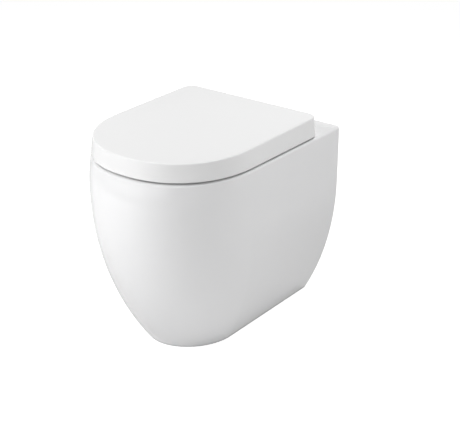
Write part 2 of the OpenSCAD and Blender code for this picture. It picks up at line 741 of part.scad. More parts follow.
// Where the slot for the arms starts, and its height
slot_y = wy(lid_in_d) - lid_fillet;
slot_top = under_at(slot_y);
lid_arm_x = knuckle_gap;
screw_cover = 1.5;
lid_screw_l = lid_t - screw_cover;
lid_profile = [
  [arm_front_y, under_at(arm_front_y) - arm_t], [slot_y, slot_top - arm_t],
  [wy(lid_in_d) + heel, slot_top - arm_t], [hinge_y - knuckle_r, hinge_z - heel],
  [hinge_y, hinge_z], [hinge_y, hinge_z + knuckle_r], [wy(lid_back_d) + heel, slot_top],
  [slot_y, slot_top], [arm_front_y, under_at(arm_front_y)]];
slot_clear = 4;
slot_w = knuckle_gap + knuckle_w + slot_clear;
lid_bevel = 0.8;
lid_round_n = 4;
rest_clear = 0.2;

// One ring of the lid, drawn in by g, level at height z
function lid_ring(g, z) = at_z(outline(lid_w - g, lid_front_d - g, lid_back_d + g,
  max(lid_corner_r - g, 1), rim_turn_d, rim_squareness), z);
// One that rises with the lid's top from height z at the lid's front
function rising_ring(g, z) = [for (p = lid_ring(g, z)) [p[0], p[1], p[2] + rise_at(p[1])]];

module lid() {
  inner = lid_skirt_t + lid_draft;
  edge_low = lid_top - lid_edge_r;
  color(plastic) difference() {
    loft(concat(
      [rising_ring(inner + lid_fillet, lid_under), rising_ring(inner, lid_under - lid_fillet),
        lid_ring(lid_skirt_t, lid_low + lid_bevel),
        lid_ring(lid_skirt_t - lid_bevel, lid_low),
        lid_ring(lid_bevel, lid_low), lid_ring(0, lid_low + lid_bevel)],
      [for (i = [0:lid_round_n]) let (u = 90 * i / lid_round_n)
        rising_ring(lid_draft + lid_edge_r * (1 - cos(u)), edge_low + lid_edge_r * sin(u))]));
    // Slot in the back of the skirt for the arms
    translate([-slot_w, slot_y, lid_low - past])
      cube([2 * slot_w, wy(lid_back_d) - slot_y + past, slot_top - lid_low + past]);
    for (s = [-1, 1])
      arm_holes(s * (lid_arm_x + knuckle_w / 2), under_at(arm_front_y) - past, lid_slope)
        cylinder(r = screw_r, h = lid_screw_l + past);
    for (p = lid_buffer_places) translate([p[0], p[1], under_at(p[1]) - past])
      cylinder(r = buffer_r, h = buffer_in + past);
  }
}
module lid_arm_left() {
  color(steel) hinge_arm(-lid_arm_x - knuckle_w, lid_profile, false, -1, lid_slope);
}
module lid_arm_right() {
  color(steel) hinge_arm(lid_arm_x, lid_profile, true, 1, lid_slope);
}
module lid_arm_screws() {
  color(steel) for (s = [-1, 1])
    arm_holes(s * (lid_arm_x + knuckle_w / 2), under_at(arm_front_y) - arm_t, lid_slope)
      screw_shape(screw_r, lid_screw_l);
}
// Rotary damper cartridge in the long knuckle of the right lid arm
module lid_damper() {
  color(plastic) along_x(lid_arm_x + knuckle_w, damper_r, damper_l - fit);
}
// Buffers that the lid rests on the seat with
module lid_buffers() {
  color(rubber) for (p = lid_buffer_places) translate([p[0], p[1], seat_top + rest_clear])
    cylinder(r = buffer_r, h = under_at(p[1]) + buffer_in - seat_top - rest_clear);
}

pan();
inlet_seal();
floor_bracket_left();
floor_bracket_right();
clamp_sleeves();
clamp_screws();
hinge_base_left();
hinge_base_right();
base_gaskets();
hinge_stud_left();
hinge_stud_right();
expanding_plug_left();
expanding_plug_right();
cone_nuts();
hinge_pin_left();
hinge_pin_right();
seat_ring();
seat_arm_left();
seat_arm_right();
seat_arm_screws();
seat_damper();
seat_buffers();
lid();
lid_arm_left();
lid_arm_right();
lid_arm_screws();
lid_damper();
lid_buffers();
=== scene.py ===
"""Back to wall toilet: a ceramic pan, a seat ring and a lid on a pair of hinges.

Models the pan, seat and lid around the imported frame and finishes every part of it.
Metres. +X is across, +Y is towards the wall, +Z is up, and the floor is at Z = 0.
Depths are measured from the wall.
"""

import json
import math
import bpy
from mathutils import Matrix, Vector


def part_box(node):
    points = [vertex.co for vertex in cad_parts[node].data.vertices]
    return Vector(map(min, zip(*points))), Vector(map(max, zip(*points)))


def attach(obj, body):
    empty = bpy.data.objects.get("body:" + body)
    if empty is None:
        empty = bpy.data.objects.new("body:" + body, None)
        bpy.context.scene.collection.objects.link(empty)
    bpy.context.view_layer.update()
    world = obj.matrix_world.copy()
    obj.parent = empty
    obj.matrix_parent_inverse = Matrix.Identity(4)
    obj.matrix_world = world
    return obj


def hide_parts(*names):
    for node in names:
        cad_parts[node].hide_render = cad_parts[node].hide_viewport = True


bl_info = {
    "name": "Back to wall toilet",
    "version": (1, 0, 0),
    "blender": (4, 5, 0),
    "location": "3D View > Sidebar > Toilet",
    "description": "Models and finishes a back to wall toilet around its packed parts",
    "category": "Object",
}

import bmesh
import bpy
from bpy.props import FloatProperty, FloatVectorProperty, PointerProperty
from mathutils import Matrix, Vector

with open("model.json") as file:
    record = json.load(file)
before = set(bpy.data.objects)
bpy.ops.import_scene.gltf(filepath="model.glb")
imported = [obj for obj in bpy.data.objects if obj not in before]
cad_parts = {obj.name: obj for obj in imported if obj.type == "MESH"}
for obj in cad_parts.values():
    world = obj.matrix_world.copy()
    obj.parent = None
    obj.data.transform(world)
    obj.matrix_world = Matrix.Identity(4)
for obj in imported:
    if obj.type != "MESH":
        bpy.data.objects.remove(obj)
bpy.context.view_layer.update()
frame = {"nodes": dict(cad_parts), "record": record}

PAN_LOW, PAN_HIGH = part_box("pan")
LID_LOW, LID_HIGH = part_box("lid")
SEAT_LOW, SEAT_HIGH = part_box("seat_ring")
PIN_LOW, PIN_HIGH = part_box("hinge_pin_right")
WALL = PAN_HIGH.y
HINGE_Y = (PIN_LOW.y + PIN_HIGH.y) / 2
HINGE_Z = (PIN_LOW.z + PIN_HIGH.z) / 2

# Steps along half of an outline: back edge, back corner, side and round front
BACK_STEPS = 6
CORNER_STEPS = 12
SIDE_STEPS = 10
FRONT_STEPS = 48
# How far a cutter runs past what it cuts, and the clearance of small fits
PAST = 0.002
ROOM = 0.00015
# The least corner radius of an outline
LEAST_CORNER = 0.001
SMOOTH_ANGLE = math.radians(32)


# ---- Settings ----
def length(name, description, default):
    return FloatProperty(
        name=name, description=description, default=default, min=0.0, unit="LENGTH", precision=4
    )


def angle(name, description, degrees):
    return FloatProperty(
        name=name, description=description, default=math.radians(degrees), subtype="ANGLE"
    )


def number(name, description, default):
    return FloatProperty(name=name, description=description, default=default)


def colour(name, description, default):
    return FloatVectorProperty(
        name=name, description=description, default=default, subtype="COLOR", min=0.0, max=1.0
    )


class PanSizes(bpy.types.PropertyGroup):
    """Sizes of the pan's outside"""

    width: length("Width", "Overall width", PAN_HIGH.x - PAN_LOW.x)
    depth: length("Depth", "From the wall to the fullest point of the front", WALL - PAN_LOW.y)
    rim_height: length("Rim height", "Height of the rim and deck", PAN_HIGH.z)
    rim_set: length("Rim set back", "How far the rim's front stands back from the belly", 0.014)
    upright_height: length("Upright height", "Where the sides have become upright", 0.296)
    belly_height: length("Belly height", "Height of the fullest point of the front", 0.350)
    foot_width: length("Foot width", "Width on the floor", 0.205)
    foot_depth: length("Foot depth", "Depth on the floor", 0.404)
    rim_turn: length("Rim turn", "Depth where the rim's sides turn into its front", 0.317)
    foot_turn: length("Foot turn", "Depth where the foot's sides turn into its front", 0.294)
    rim_squareness: number("Rim squareness", "Squareness of the rim's round front", 2.19)
    foot_squareness: number("Foot squareness", "Squareness of the foot's round front", 1.9)
    wall: length("Skirt wall", "Thickness of the skirt", 0.013)
    deck: length("Deck thickness", "Thickness of the rim and deck", 0.015)
    shoulder: length("Shoulder radius", "Radius between skirt and rim", 0.006)
    back_edge: length("Back edge radius", "Radius of the deck's edge at the wall", 0.0015)
    corner: length("Back corner radius", "Radius of the upright corners at the wall", 0.004)
    back_lip: length("Back lip", "Width of the back edges beside the opening", 0.030)
    foot_edge: length("Foot edge", "Bevel of the foot's outer edge", 0.0012)


class BowlSizes(bpy.types.PropertyGroup):
    """Sizes of the bowl"""

    side_land: length("Side land", "Width of the rim's land at the sides", 0.046)
    front_land: length("Front land", "Width of the rim's land at the front", 0.038)
    deck_depth: length("Deck depth", "From the wall to the bowl's mouth", 0.150)
    back_radius: length("Back radius", "Corner radius of the bowl's back in plan", 0.084)
    mouth_radius: length("Mouth radius", "Rounding of the bowl's mouth", 0.008)
    ledge_drop: length("Ledge drop", "Depth of the flushing ledge below the rim", 0.042)
    ledge_width: length("Ledge width", "Width of the flushing ledge", 0.009)
    ledge_nose: length("Ledge nose", "Rounding of the ledge's inner edge", 0.003)
    wall: length("Bowl wall", "Thickness of the bowl", 0.011)
    sump_width: length("Sump width", "Width of the sump", 0.078)
    sump_front: length("Sump front", "Depth to the sump's front", 0.316)
    sump_back: length("Sump back", "Depth to the sump's back", 0.214)
    sump_radius: length("Sump radius", "Rounding of the sump's floor", 0.014)
    sump_flat: length("Sump flat", "Width of the flat across the sump's back", 0.008)


class WaterwaySizes(bpy.types.PropertyGroup):
    """Sizes of the trapway, the outlet and the flush inlet"""

    bore: length("Bore radius", "Radius of the water passage", 0.026)
    wall: length("Wall", "Wall thickness round the passage", 0.009)
    weir_height: length("Weir height", "Height of the weir that holds the water", 0.235)
    seal_depth: length("Seal depth", "Depth of the water seal", 0.053)
    bend: length("Bend radius", "Radius of the passage's bends", 0.038)
    leg_slope: angle("Leg slope", "Slope of the rising and falling legs", 75)
    outlet_height: length("Outlet height", "Height of the outlet's centre", 0.180)
    outlet_radius: length("Outlet radius", "Outside radius of the spigot", 0.051)
    outlet_wall: length("Outlet wall", "Wall thickness of the spigot", 0.008)
    outlet_length: length("Outlet length", "Length of the spigot's bore", 0.040)
    inlet_height: length("Inlet height", "Height of the flush inlet's centre", 0.345)
    inlet_radius: length("Inlet radius", "Radius of the inlet's bore", 0.0275)
    inlet_length: length("Inlet length", "Length of the inlet's bore", 0.045)
    inlet_web: length("Inlet web", "Height between inlet and back opening", 0.012)
    channel: length("Channel radius", "Radius of the channel to the bowl", 0.020)
    outlet_web: length("Outlet web", "Thickness behind the spigot's bore", 0.006)
    edge: length("Edge radius", "Rounding of the spigot's end", 0.002)
    seal_bore: length("Seal bore", "Bore radius of the inlet seal", 0.020)
    seal_short: length("Seal short", "How far the seal stops short of the inlet's end", 0.006)


class FixingSizes(bpy.types.PropertyGroup):
    """Places and sizes of the holes for fixings"""

    spacing: length("Seat fixings", "Spacing of the two seat fixings", 0.155)
    hole_radius: length("Fixing hole", "Radius of the seat fixing holes", 0.0075)
    clamp_depth: length("Clamp depth", "Depth of the clamp screws from the wall", 0.140)
    clamp_height: length("Clamp height", "Height of the clamp screws", 0.045)
    boss_face: length("Boss face", "From the middle to the bosses' faces", 0.086)
    boss_radius: length("Boss radius", "Radius of the ceramic bosses", 0.015)
    boss_hole: length("Boss hole", "Radius of the holes in the bosses", 0.00615)
    boss_hole_depth: length("Boss hole depth", "Depth of the holes in the bosses", 0.018)


class SeatSizes(bpy.types.PropertyGroup):
    """Sizes of the seat ring"""

    corner: length("Corner radius", "Radius of the back corners in plan", 0.025)
    hole_width: length("Opening width", "Width of the opening", 0.224)
    hole_front: length("Opening front", "Depth to the opening's front", 0.438)
    hole_back: length("Opening back", "Depth to the opening's back", 0.166)
    hole_corner: length("Opening radius", "Corner radius of the opening's back", 0.078)
    edge: length("Edge radius", "Radius of the upper edges", 0.007)
    under_edge: length("Under edge", "Rounding of the lower edges", 0.002)
    fall: length("Fall", "How much lower the top is at the opening", 0.003)


class LidSizes(bpy.types.PropertyGroup):
    """Sizes of the lid"""

    height: length("Front height", "From the lower edge to the top at the front", 0.0375)
    rise: length("Rise", "How much higher the top is at the back", 0.0045)
    top: length("Top thickness", "Thickness of the top", 0.006)
    skirt: length("Skirt thickness", "Thickness of the skirt", 0.005)
    edge: length("Edge radius", "Radius of the top edge", 0.003)
    low_edge: length("Low edge radius", "Rounding of the skirt's lower edge", 0.0012)
    draft: length("Draft", "How far the skirt leans in over its height", 0.0045)
    corner: length("Corner radius", "Radius of the back corners in plan", 0.030)
    fillet: length("Inner fillet", "Fillet between skirt and top inside", 0.003)
    slot: length("Hinge slot", "Half width of the slot in the back", 0.112)


class HingeSizes(bpy.types.PropertyGroup):
    """Sizes of the hinges"""

    pin: length("Pin radius", "Radius of the hinge pins", 0.004)
    clearance: length("Pin clearance", "Running clearance of the knuckles", 0.0001)
    knuckle: length("Knuckle radius", "Radius of knuckles and pillar tops", 0.0085)
    knuckle_width: length("Knuckle width", "Width of the plain knuckles", 0.022)
    pillar: length("Pillar width", "Width of the pillars", 0.016)
    gap: length("Side clearance", "Between pillars and knuckles", 0.0005)
    base: length("Base radius", "Radius of the bases", 0.020)
    base_thickness: length("Base thickness", "Thickness of the bases", 0.004)
    gasket: length("Gasket thickness", "Thickness of the gaskets", 0.0015)
    gasket_hole: length("Gasket hole", "Radius of the holes in the gaskets", 0.01115)
    stud: length("Stud radius", "Radius of the studs", 0.003)
    stud_depth: length("Stud depth", "How deep the studs go into the bases", 0.012)
    damper: length("Damper radius", "Radius of the damper cartridges", 0.006)
    damper_length: length("Damper length", "Length of the damper cartridges", 0.026)
    damper_cap: length("Damper cap", "Closed end of the long knuckles", 0.002)
    plate: length("Plate thickness", "Thickness of the arms' plates", 0.004)
    reach: length("Plate reach", "Reach of the plates in front of the axis", 0.084)
    screw: length("Screw radius", "Radius of the arm screws", 0.002)
    screw_head: length("Screw head", "Radius of the arm screws' heads", 0.0038)
    screw_in: length("First screw", "From the plate's front to the first screw", 0.011)
    screw_pitch: length("Screw pitch", "Between the two screws of an arm", 0.024)
    seat_screw: length("Seat screw", "Length of a seat screw past the plate", 0.012)
    lid_screw: length("Lid screw", "Length of a lid screw past the plate", 0.0045)
    buffer: length("Buffer radius", "Radius of the buffers", 0.0065)
    edge: length("Edge radius", "Rounding of the metal's edges", 0.0007)


class BracketSizes(bpy.types.PropertyGroup):
    """Sizes of the floor brackets and clamps"""

    width: length("Width", "Width of a bracket", 0.046)
    plate: length("Plate", "Thickness of the bracket plate", 0.004)
    foot: length("Foot", "Length of a bracket's foot", 0.044)
    height: length("Height", "Height of the upright", 0.059)
    bend: length("Bend", "Outside radius of the folded corner", 0.006)
    web_reach: length("Web reach", "Reach of the webs along the foot", 0.014)
    web_drop: length("Web drop", "How far the webs stop below the top", 0.008)
    floor_hole: length("Floor hole", "Radius of the floor screw holes", 0.0045)
    floor_hole_in: length("Floor hole in", "From the upright to the holes", 0.024)
    floor_hole_pitch: length("Floor hole pitch", "Between the floor holes", 0.024)
    clamp: length("Clamp screw", "Radius of the clamp screws", 0.003)
    clearance: length("Clamp clearance", "Clearance round the clamp screws", 0.00015)
    head_height: length("Head height", "Height of the screw heads", 0.004)
    socket: length("Socket", "Radius of the hexagon sockets", 0.0027)
    socket_depth: length("Socket depth", "Depth of the hexagon sockets", 0.0024)
    sleeve: length("Sleeve radius", "Outside radius of the sleeves", 0.006)
    sleeve_length: length("Sleeve length", "Length of the sleeves", 0.016)
    flange: length("Flange", "Thickness of the sleeves' flanges", 0.0015)
    flange_radius: length("Flange radius", "Radius of the sleeves' flanges", 0.010)
    edge: length("Edge radius", "Rounding of the bracket's edges", 0.0005)


class Finishes(bpy.types.PropertyGroup):
    """Colours of the finishes"""

    glaze: colour("Glaze", "White glaze", (0.880, 0.880, 0.885))
    biscuit: colour("Biscuit", "Bare fired clay of the foot", (0.78, 0.75, 0.70))
    plastic: colour("Seat plastic", "White moulded seat and lid", (0.875, 0.875, 0.875))
    chrome: colour("Chrome", "Hinge metal", (0.75, 0.76, 0.78))
    steel: colour("Steel", "Stainless fasteners", (0.66, 0.66, 0.67))
    zinc: colour("Zinc", "Plated brackets", (0.62, 0.63, 0.65))
    brass: colour("Brass", "Cone nuts", (0.72, 0.55, 0.27))
    black_rubber: colour("Black rubber", "Gaskets, plugs and seal", (0.05, 0.05, 0.055))
    white_rubber: colour("White rubber", "Buffers", (0.82, 0.82, 0.80))
    nylon: colour("Nylon", "Sleeves and dampers", (0.80, 0.80, 0.77))


class StageSettings(bpy.types.PropertyGroup):
    """Camera and lamps"""

    azimuth: angle("Camera azimuth", "Turn of the camera from the front", 37.46)
    elevation: angle("Camera elevation", "Height of the camera's view", 24.48)
    distance: length("Camera distance", "From the target to the camera", 2.589)
    key_power: number("Key power", "Watts of the lamp on the left", 26.2)
    front_power: number("Front power", "Watts of the low lamp in front", 14.2)
    side_power: number("Side power", "Watts of the low lamp on the right", 13.2)
    rear_power: number("Rear power", "Watts of the low lamp at the back right", 5.0)
    top_power: number("Top power", "Watts of the high lamp over the back", 27.0)
    back_power: number("Back power", "Watts of the low lamp behind", 12.0)
    world_level: number("World level", "Level of the even light all round", 0.03)
    floor_glow: number("Floor glow", "How much the floor glows to the camera", 0.95)
    mirror_glow: number("Mirror glow", "How much the floor glows where a piece mirrors it", 0.15)


class ToiletSettings(bpy.types.PropertyGroup):
    """Everything that can be set on the toilet"""

    pan: PointerProperty(type=PanSizes)
    bowl: PointerProperty(type=BowlSizes)
    water: PointerProperty(type=WaterwaySizes)
    fixing: PointerProperty(type=FixingSizes)
    seat: PointerProperty(type=SeatSizes)
    lid: PointerProperty(type=LidSizes)
    hinge: PointerProperty(type=HingeSizes)
    bracket: PointerProperty(type=BracketSizes)
    finish: PointerProperty(type=Finishes)
    stage: PointerProperty(type=StageSettings)


# ---- Modelling helpers ----
def mix(a, b, t):
    return a + (b - a) * t


def steps(count, first=0):
    """Evenly spaced values from 0 to 1, from step first of count."""
    return [i / count for i in range(first, count + 1)]


def quarter(count, first=0):
    """Sine and cosine of evenly spaced turns from 0 to 90 degrees."""
    turns = [math.radians(90 * t) for t in steps(count, first)]
    return [(math.sin(turn), math.cos(turn)) for turn in turns]


def arc_in(radius, height):
    """How far an arc has come in at a height from its tangent point."""
    return radius - math.sqrt(radius * radius - height * height)


def arc_radius(height, inset):
    return (height * height + inset * inset) / (2 * inset)


def outline(half_width, front, back, corner, turn, squareness):
    """A D-shaped outline as (x, depth) points, from the middle of its back round its right."""
    half = [((half_width - corner) * i / BACK_STEPS, back) for i in range(BACK_STEPS)]
    for i in range(CORNER_STEPS):
        u = math.radians(90 * i / CORNER_STEPS)
        across = half_width - corner + corner * math.sin(u)
        half.append((across, back + corner - corner * math.cos(u)))
    half += [
        (half_width, mix(back + corner, turn, i / SIDE_STEPS)) for i in range(SIDE_STEPS)
    ]
    for t in steps(FRONT_STEPS):
        u = math.radians(90 * t)
        across = half_width * max(0.0, math.cos(u)) ** (2 / squareness)
        half.append((across, turn + (front - turn) * math.sin(u) ** (2 / squareness)))
    half[-1] = (0.0, front)
    return half + [(-x, depth) for x, depth in reversed(half[1:-1])]


def at_height(points, z):
    return [Vector((x, WALL - depth, z)) for x, depth in points]


def deselect():
    if bpy.context.object and bpy.context.object.mode != "OBJECT":
        bpy.ops.object.mode_set(mode="OBJECT")
    bpy.ops.object.select_all(action="DESELECT")


def pick(piece):
    """Makes a piece the only one selected, and the active one."""
    deselect()
    piece.select_set(True)
    bpy.context.view_layer.objects.active = piece


def place_key(point):
    return tuple(round(c * 1e7) for c in point)


def put_ring(piece, order, ring):
    """Moves the selected ring of vertices onto new places, in the order of the last ones."""
    mesh = bmesh.from_edit_mesh(piece.data)
    placed = {}
    for vertex in mesh.verts:
        if vertex.select:
            index = order[place_key(vertex.co)]
            vertex.co = ring[index]
            placed[place_key(vertex.co)] = index
    bmesh.update_edit_mesh(piece.data)
    return placed


def close_up(piece, fill=True):
    """Merges the doubles of a mesh in edit mode, fills its ends and turns its faces outwards."""
    bpy.ops.mesh.select_all(action="SELECT")
    bpy.ops.mesh.remove_doubles(threshold=1e-6)
    if fill:
        bpy.ops.mesh.select_all(action="SELECT")
        bpy.ops.mesh.fill_holes(sides=0)
    bpy.ops.mesh.select_all(action="SELECT")
    bpy.ops.mesh.normals_make_consistent(inside=False)
    bpy.ops.object.mode_set(mode="OBJECT")
    return piece


def skin(name, rings, closed=False):
    """A solid skin: a circle is shaped to the first ring and extruded to each next one."""
    deselect()
    count = len(rings[0])
    bpy.ops.mesh.primitive_circle_add(vertices=count, radius=1, location=(0, 0, 0))
    piece = bpy.context.object
    piece.name = piece.data.name = name
    bpy.ops.object.mode_set(mode="EDIT")
    bpy.ops.mesh.select_all(action="SELECT")
    start = bmesh.from_edit_mesh(piece.data)
    order = {place_key(v.co): i for i, v in enumerate(start.verts)}
    order = put_ring(piece, order, rings[0])
    for ring in rings[1:] + ([rings[0]] if closed else []):
        bpy.ops.mesh.extrude_edges_move()
        order = put_ring(piece, order, ring)
    return close_up(piece, fill=not closed)


def turned(name, profile, start, axis, sides=64, closed=False):
    """A turned solid: rings of (radius, distance along the axis) from a start."""
    turn = Vector((0, 0, 1)).rotation_difference(Vector(axis)).to_matrix()
    rings = []
    for radius, along in profile:
        ring = []
        for i in range(sides):
            u = 2 * math.pi * i / sides
            spot = Vector((radius * math.cos(u), radius * math.sin(u), along))
            ring.append(Vector(start) + turn @ spot)
        rings.append(ring)
    return skin(name, rings, closed)


def rounded_end(radius, long, edge):
    """Profile of a bar whose far end has a rounded edge."""
    profile = [(radius, 0.0)]
    for sine, cosine in quarter(4):
        profile.append((radius - edge * (1 - cosine), long - edge + edge * sine))
    return profile


def bar(name, radius, start, axis, long, sides=64):
    return turned(name, [(radius, 0), (radius, long)], start, axis, sides)


def block(name, low, high):
    """A plain box between two corners, to cut with."""
    deselect()
    low, high = Vector(low), Vector(high)
    bpy.ops.mesh.primitive_cube_add(size=1, location=(low + high) / 2, scale=high - low)
    piece = bpy.context.object
    piece.name = piece.data.name = name
    bpy.ops.object.transform_apply(location=True, rotation=True, scale=True)
    return piece


def combine(piece, other, operation):
    """Joins, cuts or trims a piece with another solid, which is then removed."""
    pick(piece)
    bpy.ops.object.modifier_add(type="BOOLEAN")
    change = piece.modifiers[-1]
    change.operation = operation
    change.solver = "MANIFOLD"
    change.object = other
    bpy.ops.object.modifier_apply(modifier=change.name)
    mesh = other.data
    bpy.data.objects.remove(other)
    bpy.data.meshes.remove(mesh)
    if not piece.data.polygons:
        raise RuntimeError(f"{piece.name} was lost by a {operation.lower()}")
    return piece


def soften(piece, width):
    """Rounds the sharp edges of a piece."""
    pick(piece)
    bpy.ops.object.modifier_add(type="BEVEL")
    change = piece.modifiers[-1]
    change.width = width
    change.segments = 3
    change.limit_method = "ANGLE"
    change.angle_limit = math.radians(40)
    bpy.ops.object.modifier_apply(modifier=change.name)
    return piece


def prism(name, profile, low, high, axis="X"):
    """A bar of even section along X or Y, whose profile lists the other two coordinates."""
    if axis == "X":
        rings = [[Vector((along, a, b)) for a, b in profile] for along in (low, high)]
    else:
        rings = [[Vector((a, along, b)) for a, b in profile] for along in (low, high)]
    return skin(name, rings)


def round_bar(name, radius, start, axis, long, edge, sides=64):
    """A bar with both ends rounded off."""
    profile = []
    for sine, cosine in quarter(3):
        profile.append((radius - edge * (1 - sine), edge * (1 - cosine)))
    profile += [(radius, long / 2)] + rounded_end(radius, long, edge)[1:]
    return turned(name, profile, start, axis, sides)


def gather(pieces):
    """Joins loose pieces to the first of them."""
    deselect()
    for piece in pieces:
        piece.select_set(True)
    bpy.context.view_layer.objects.active = pieces[0]
    bpy.ops.object.join()
    deselect()
    return pieces[0]


def repeat(piece, shifts):
    """Copies a piece by each shift and joins the copies to it."""
    copies = [piece]
    for shift in shifts:
        pick(piece)
        bpy.ops.object.duplicate_move(TRANSFORM_OT_translate={"value": shift})
        copies.append(bpy.context.object)
    return gather(copies)


def finish_mesh(piece):
    """Cleans a finished piece, drops the empty slot of its cuts and smooths its round faces."""
    piece.data.materials.clear()
    piece.data.polygons.foreach_set("material_index", [0] * len(piece.data.polygons))
    pick(piece)
    bpy.ops.object.mode_set(mode="EDIT")
    bpy.ops.mesh.select_all(action="SELECT")
    bpy.ops.mesh.remove_doubles(threshold=2e-6)
    bpy.ops.mesh.select_all(action="DESELECT")
    bpy.ops.object.mode_set(mode="OBJECT")
    bpy.ops.object.shade_smooth_by_angle(angle=SMOOTH_ANGLE)
    deselect()


def hand_over(piece, body, slot, *nodes):
    """Sets the body and the replaced nodes of a finished piece; its finish slot is not used."""
    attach(piece, body)
    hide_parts(*nodes)


def complete(piece, settings, body, slot, node):
    """Cleans a piece, gives it the finish of its slot and hands it over."""
    finish_mesh(piece)
    piece.data.materials.append(SLOT_FINISHES[slot](settings))
    hand_over(piece, body, slot, node)


# ---- Pan ----
def side_at(pan, z):
    """Half width of the skirt's outside at a height."""
    inset = (pan.width - pan.foot_width) / 2
    radius = arc_radius(pan.upright_height, inset)
    return pan.width / 2 - arc_in(radius, max(0.0, pan.upright_height - z))


def front_at(pan, z):
    """Depth of the skirt's front at a height."""
    if z < pan.belly_height:
        radius = arc_radius(pan.belly_height, pan.depth - pan.foot_depth)
        return pan.depth - arc_in(radius, pan.belly_height - z)
    radius = arc_radius(pan.rim_height - pan.belly_height, pan.rim_set)
    return pan.depth - arc_in(radius, z - pan.belly_height)


def skirt_outline(pan, z, inward, back):
    k = z / pan.rim_height
    return outline(
        side_at(pan, z) - inward,
        front_at(pan, z) - inward,
        back,
        pan.corner,
        mix(pan.foot_turn, pan.rim_turn, k),
        mix(pan.foot_squareness, pan.rim_squareness, k),
    )


def skirt_ring(pan, z, inward=0.0, back=None):
    return at_height(skirt_outline(pan, z, inward, inward if back is None else back), z)


def shoulder_ring(pan, u):
    """A ring of the rounded shoulder, from 0 at the skirt to 1 on the deck."""
    turn = math.radians(90 * u)
    start = pan.rim_height - pan.shoulder
    inward = pan.shoulder * (1 - math.cos(turn))
    back = pan.back_edge * (1 - math.cos(turn))
    points = skirt_outline(pan, start, inward, back)
    return at_height(points, start + pan.shoulder * math.sin(turn))


def mouth_width(pan, bowl):
    return pan.width / 2 - bowl.side_land


def mouth_front(pan, bowl):
    return pan.depth - pan.rim_set - bowl.front_land


def mouth_ring(pan, bowl, z, inward):
    """A ring of the bowl's mouth, drawn in by inward."""
    points = outline(
        mouth_width(pan, bowl) - inward,
        mouth_front(pan, bowl) - inward,
        bowl.deck_depth + inward,
        bowl.back_radius - inward,
        pan.rim_turn,
        pan.rim_squareness,
    )
    return at_height(points, z)


def sump_floor(water):
    return water.weir_height - water.seal_depth - 2 * water.bore


def sump_corner(bowl):
    return (bowl.sump_width - bowl.sump_flat) / 2


def bowl_ring(settings, k, grow):
    """A ring of the bowl, from 0 at the sump to 1 at the ledge, grown by grow."""
    pan, bowl = settings.pan, settings.bowl
    s = (1 - math.cos(math.pi * k)) / 2
    turn = mix((bowl.sump_front + bowl.sump_back) / 2, pan.rim_turn, s)
    points = outline(
        mix(bowl.sump_width / 2, mouth_width(pan, bowl) - bowl.ledge_width, s) + grow,
        mix(bowl.sump_front, mouth_front(pan, bowl) - bowl.ledge_width, s) + grow,
        mix(bowl.sump_back, bowl.deck_depth + bowl.ledge_width, s) - grow,
        mix(sump_corner(bowl), bowl.back_radius - bowl.ledge_width, s) + grow,
        turn,
        pan.rim_squareness,
    )
    low = sump_floor(settings.water) + bowl.sump_radius
    high = pan.rim_height - bowl.ledge_drop - bowl.ledge_width
    return at_height(points, mix(low, high, k))


def sump_ring(settings, u, grow):
    """A ring of the sump's rounded floor, from 0 at its wall to 1 at its floor."""
    bowl = settings.bowl
    turn = math.radians(90 * u)
    out = grow - bowl.sump_radius * (1 - math.cos(turn))
    middle = (bowl.sump_front + bowl.sump_back) / 2
    points = outline(
        bowl.sump_width / 2 + out,
        bowl.sump_front + out,
        bowl.sump_back - out,
        sump_corner(bowl) + out,
        middle,
        settings.pan.rim_squareness,
    )
    low = sump_floor(settings.water) + bowl.sump_radius
    return at_height(points, low - (bowl.sump_radius + grow) * math.sin(turn))


def bowl_rings(settings):
    """Rings of the bowl's inside, from the sump's floor up to the ledge's nose."""
    rings = [sump_ring(settings, 1 - t, 0.0) for t in steps(6)][:-1]
    return rings + [bowl_ring(settings, t, 0.0) for t in steps(30)]


def ledge_rings(settings):
    """The ledge as an S: a rounded nose, then a cove up into the mouth's wall."""
    pan, bowl = settings.pan, settings.bowl
    ledge = pan.rim_height - bowl.ledge_drop
    cove = bowl.ledge_width - bowl.ledge_nose
    rings = []
    low = ledge - bowl.ledge_width
    for sine, cosine in quarter(4, 1):
        out = bowl.ledge_nose * (1 - cosine)
        rings.append(mouth_ring(pan, bowl, low + bowl.ledge_nose * sine, bowl.ledge_width - out))
    low = ledge - cove
    for sine, cosine in quarter(6, 1):
        rings.append(mouth_ring(pan, bowl, low + cove * (1 - cosine), cove - cove * sine))
    return rings


def mouth_rings(settings):
    """The mouth's wall and its rounding onto the rim."""
    pan, bowl = settings.pan, settings.bowl
    round_low = pan.rim_height - bowl.mouth_radius
    ledge = pan.rim_height - bowl.ledge_drop
    rings = [mouth_ring(pan, bowl, mix(ledge, round_low, t), 0.0) for t in steps(4, 1)]
    for sine, cosine in quarter(8, 1):
        out = bowl.mouth_radius * (1 - cosine)
        rings.append(mouth_ring(pan, bowl, round_low + bowl.mouth_radius * sine, -out))
    return rings


def pan_rings(settings):
    """The pan's whole skin, from the sump's floor over the rim and back under the bowl."""
    pan, bowl = settings.pan, settings.bowl
    under = pan.rim_height - pan.deck
    straight = pan.rim_height - pan.shoulder
    rings = bowl_rings(settings) + ledge_rings(settings) + mouth_rings(settings)
    rings += [shoulder_ring(pan, 1 - t) for t in steps(8)]
    rings += [skirt_ring(pan, mix(straight, pan.foot_edge, t), 0.0, 0.0) for t in steps(44, 1)]
    rings.append(skirt_ring(pan, 0.0, pan.foot_edge, 0.0))
    rings += [skirt_ring(pan, under * t, pan.wall) for t in steps(12)]
    rings.append(mouth_ring(pan, bowl, under, -bowl.wall))
    rings += [bowl_ring(settings, 1 - t, bowl.wall) for t in steps(16)]
    rings += [sump_ring(settings, t, bowl.wall) for t in steps(4, 1)]
    return rings


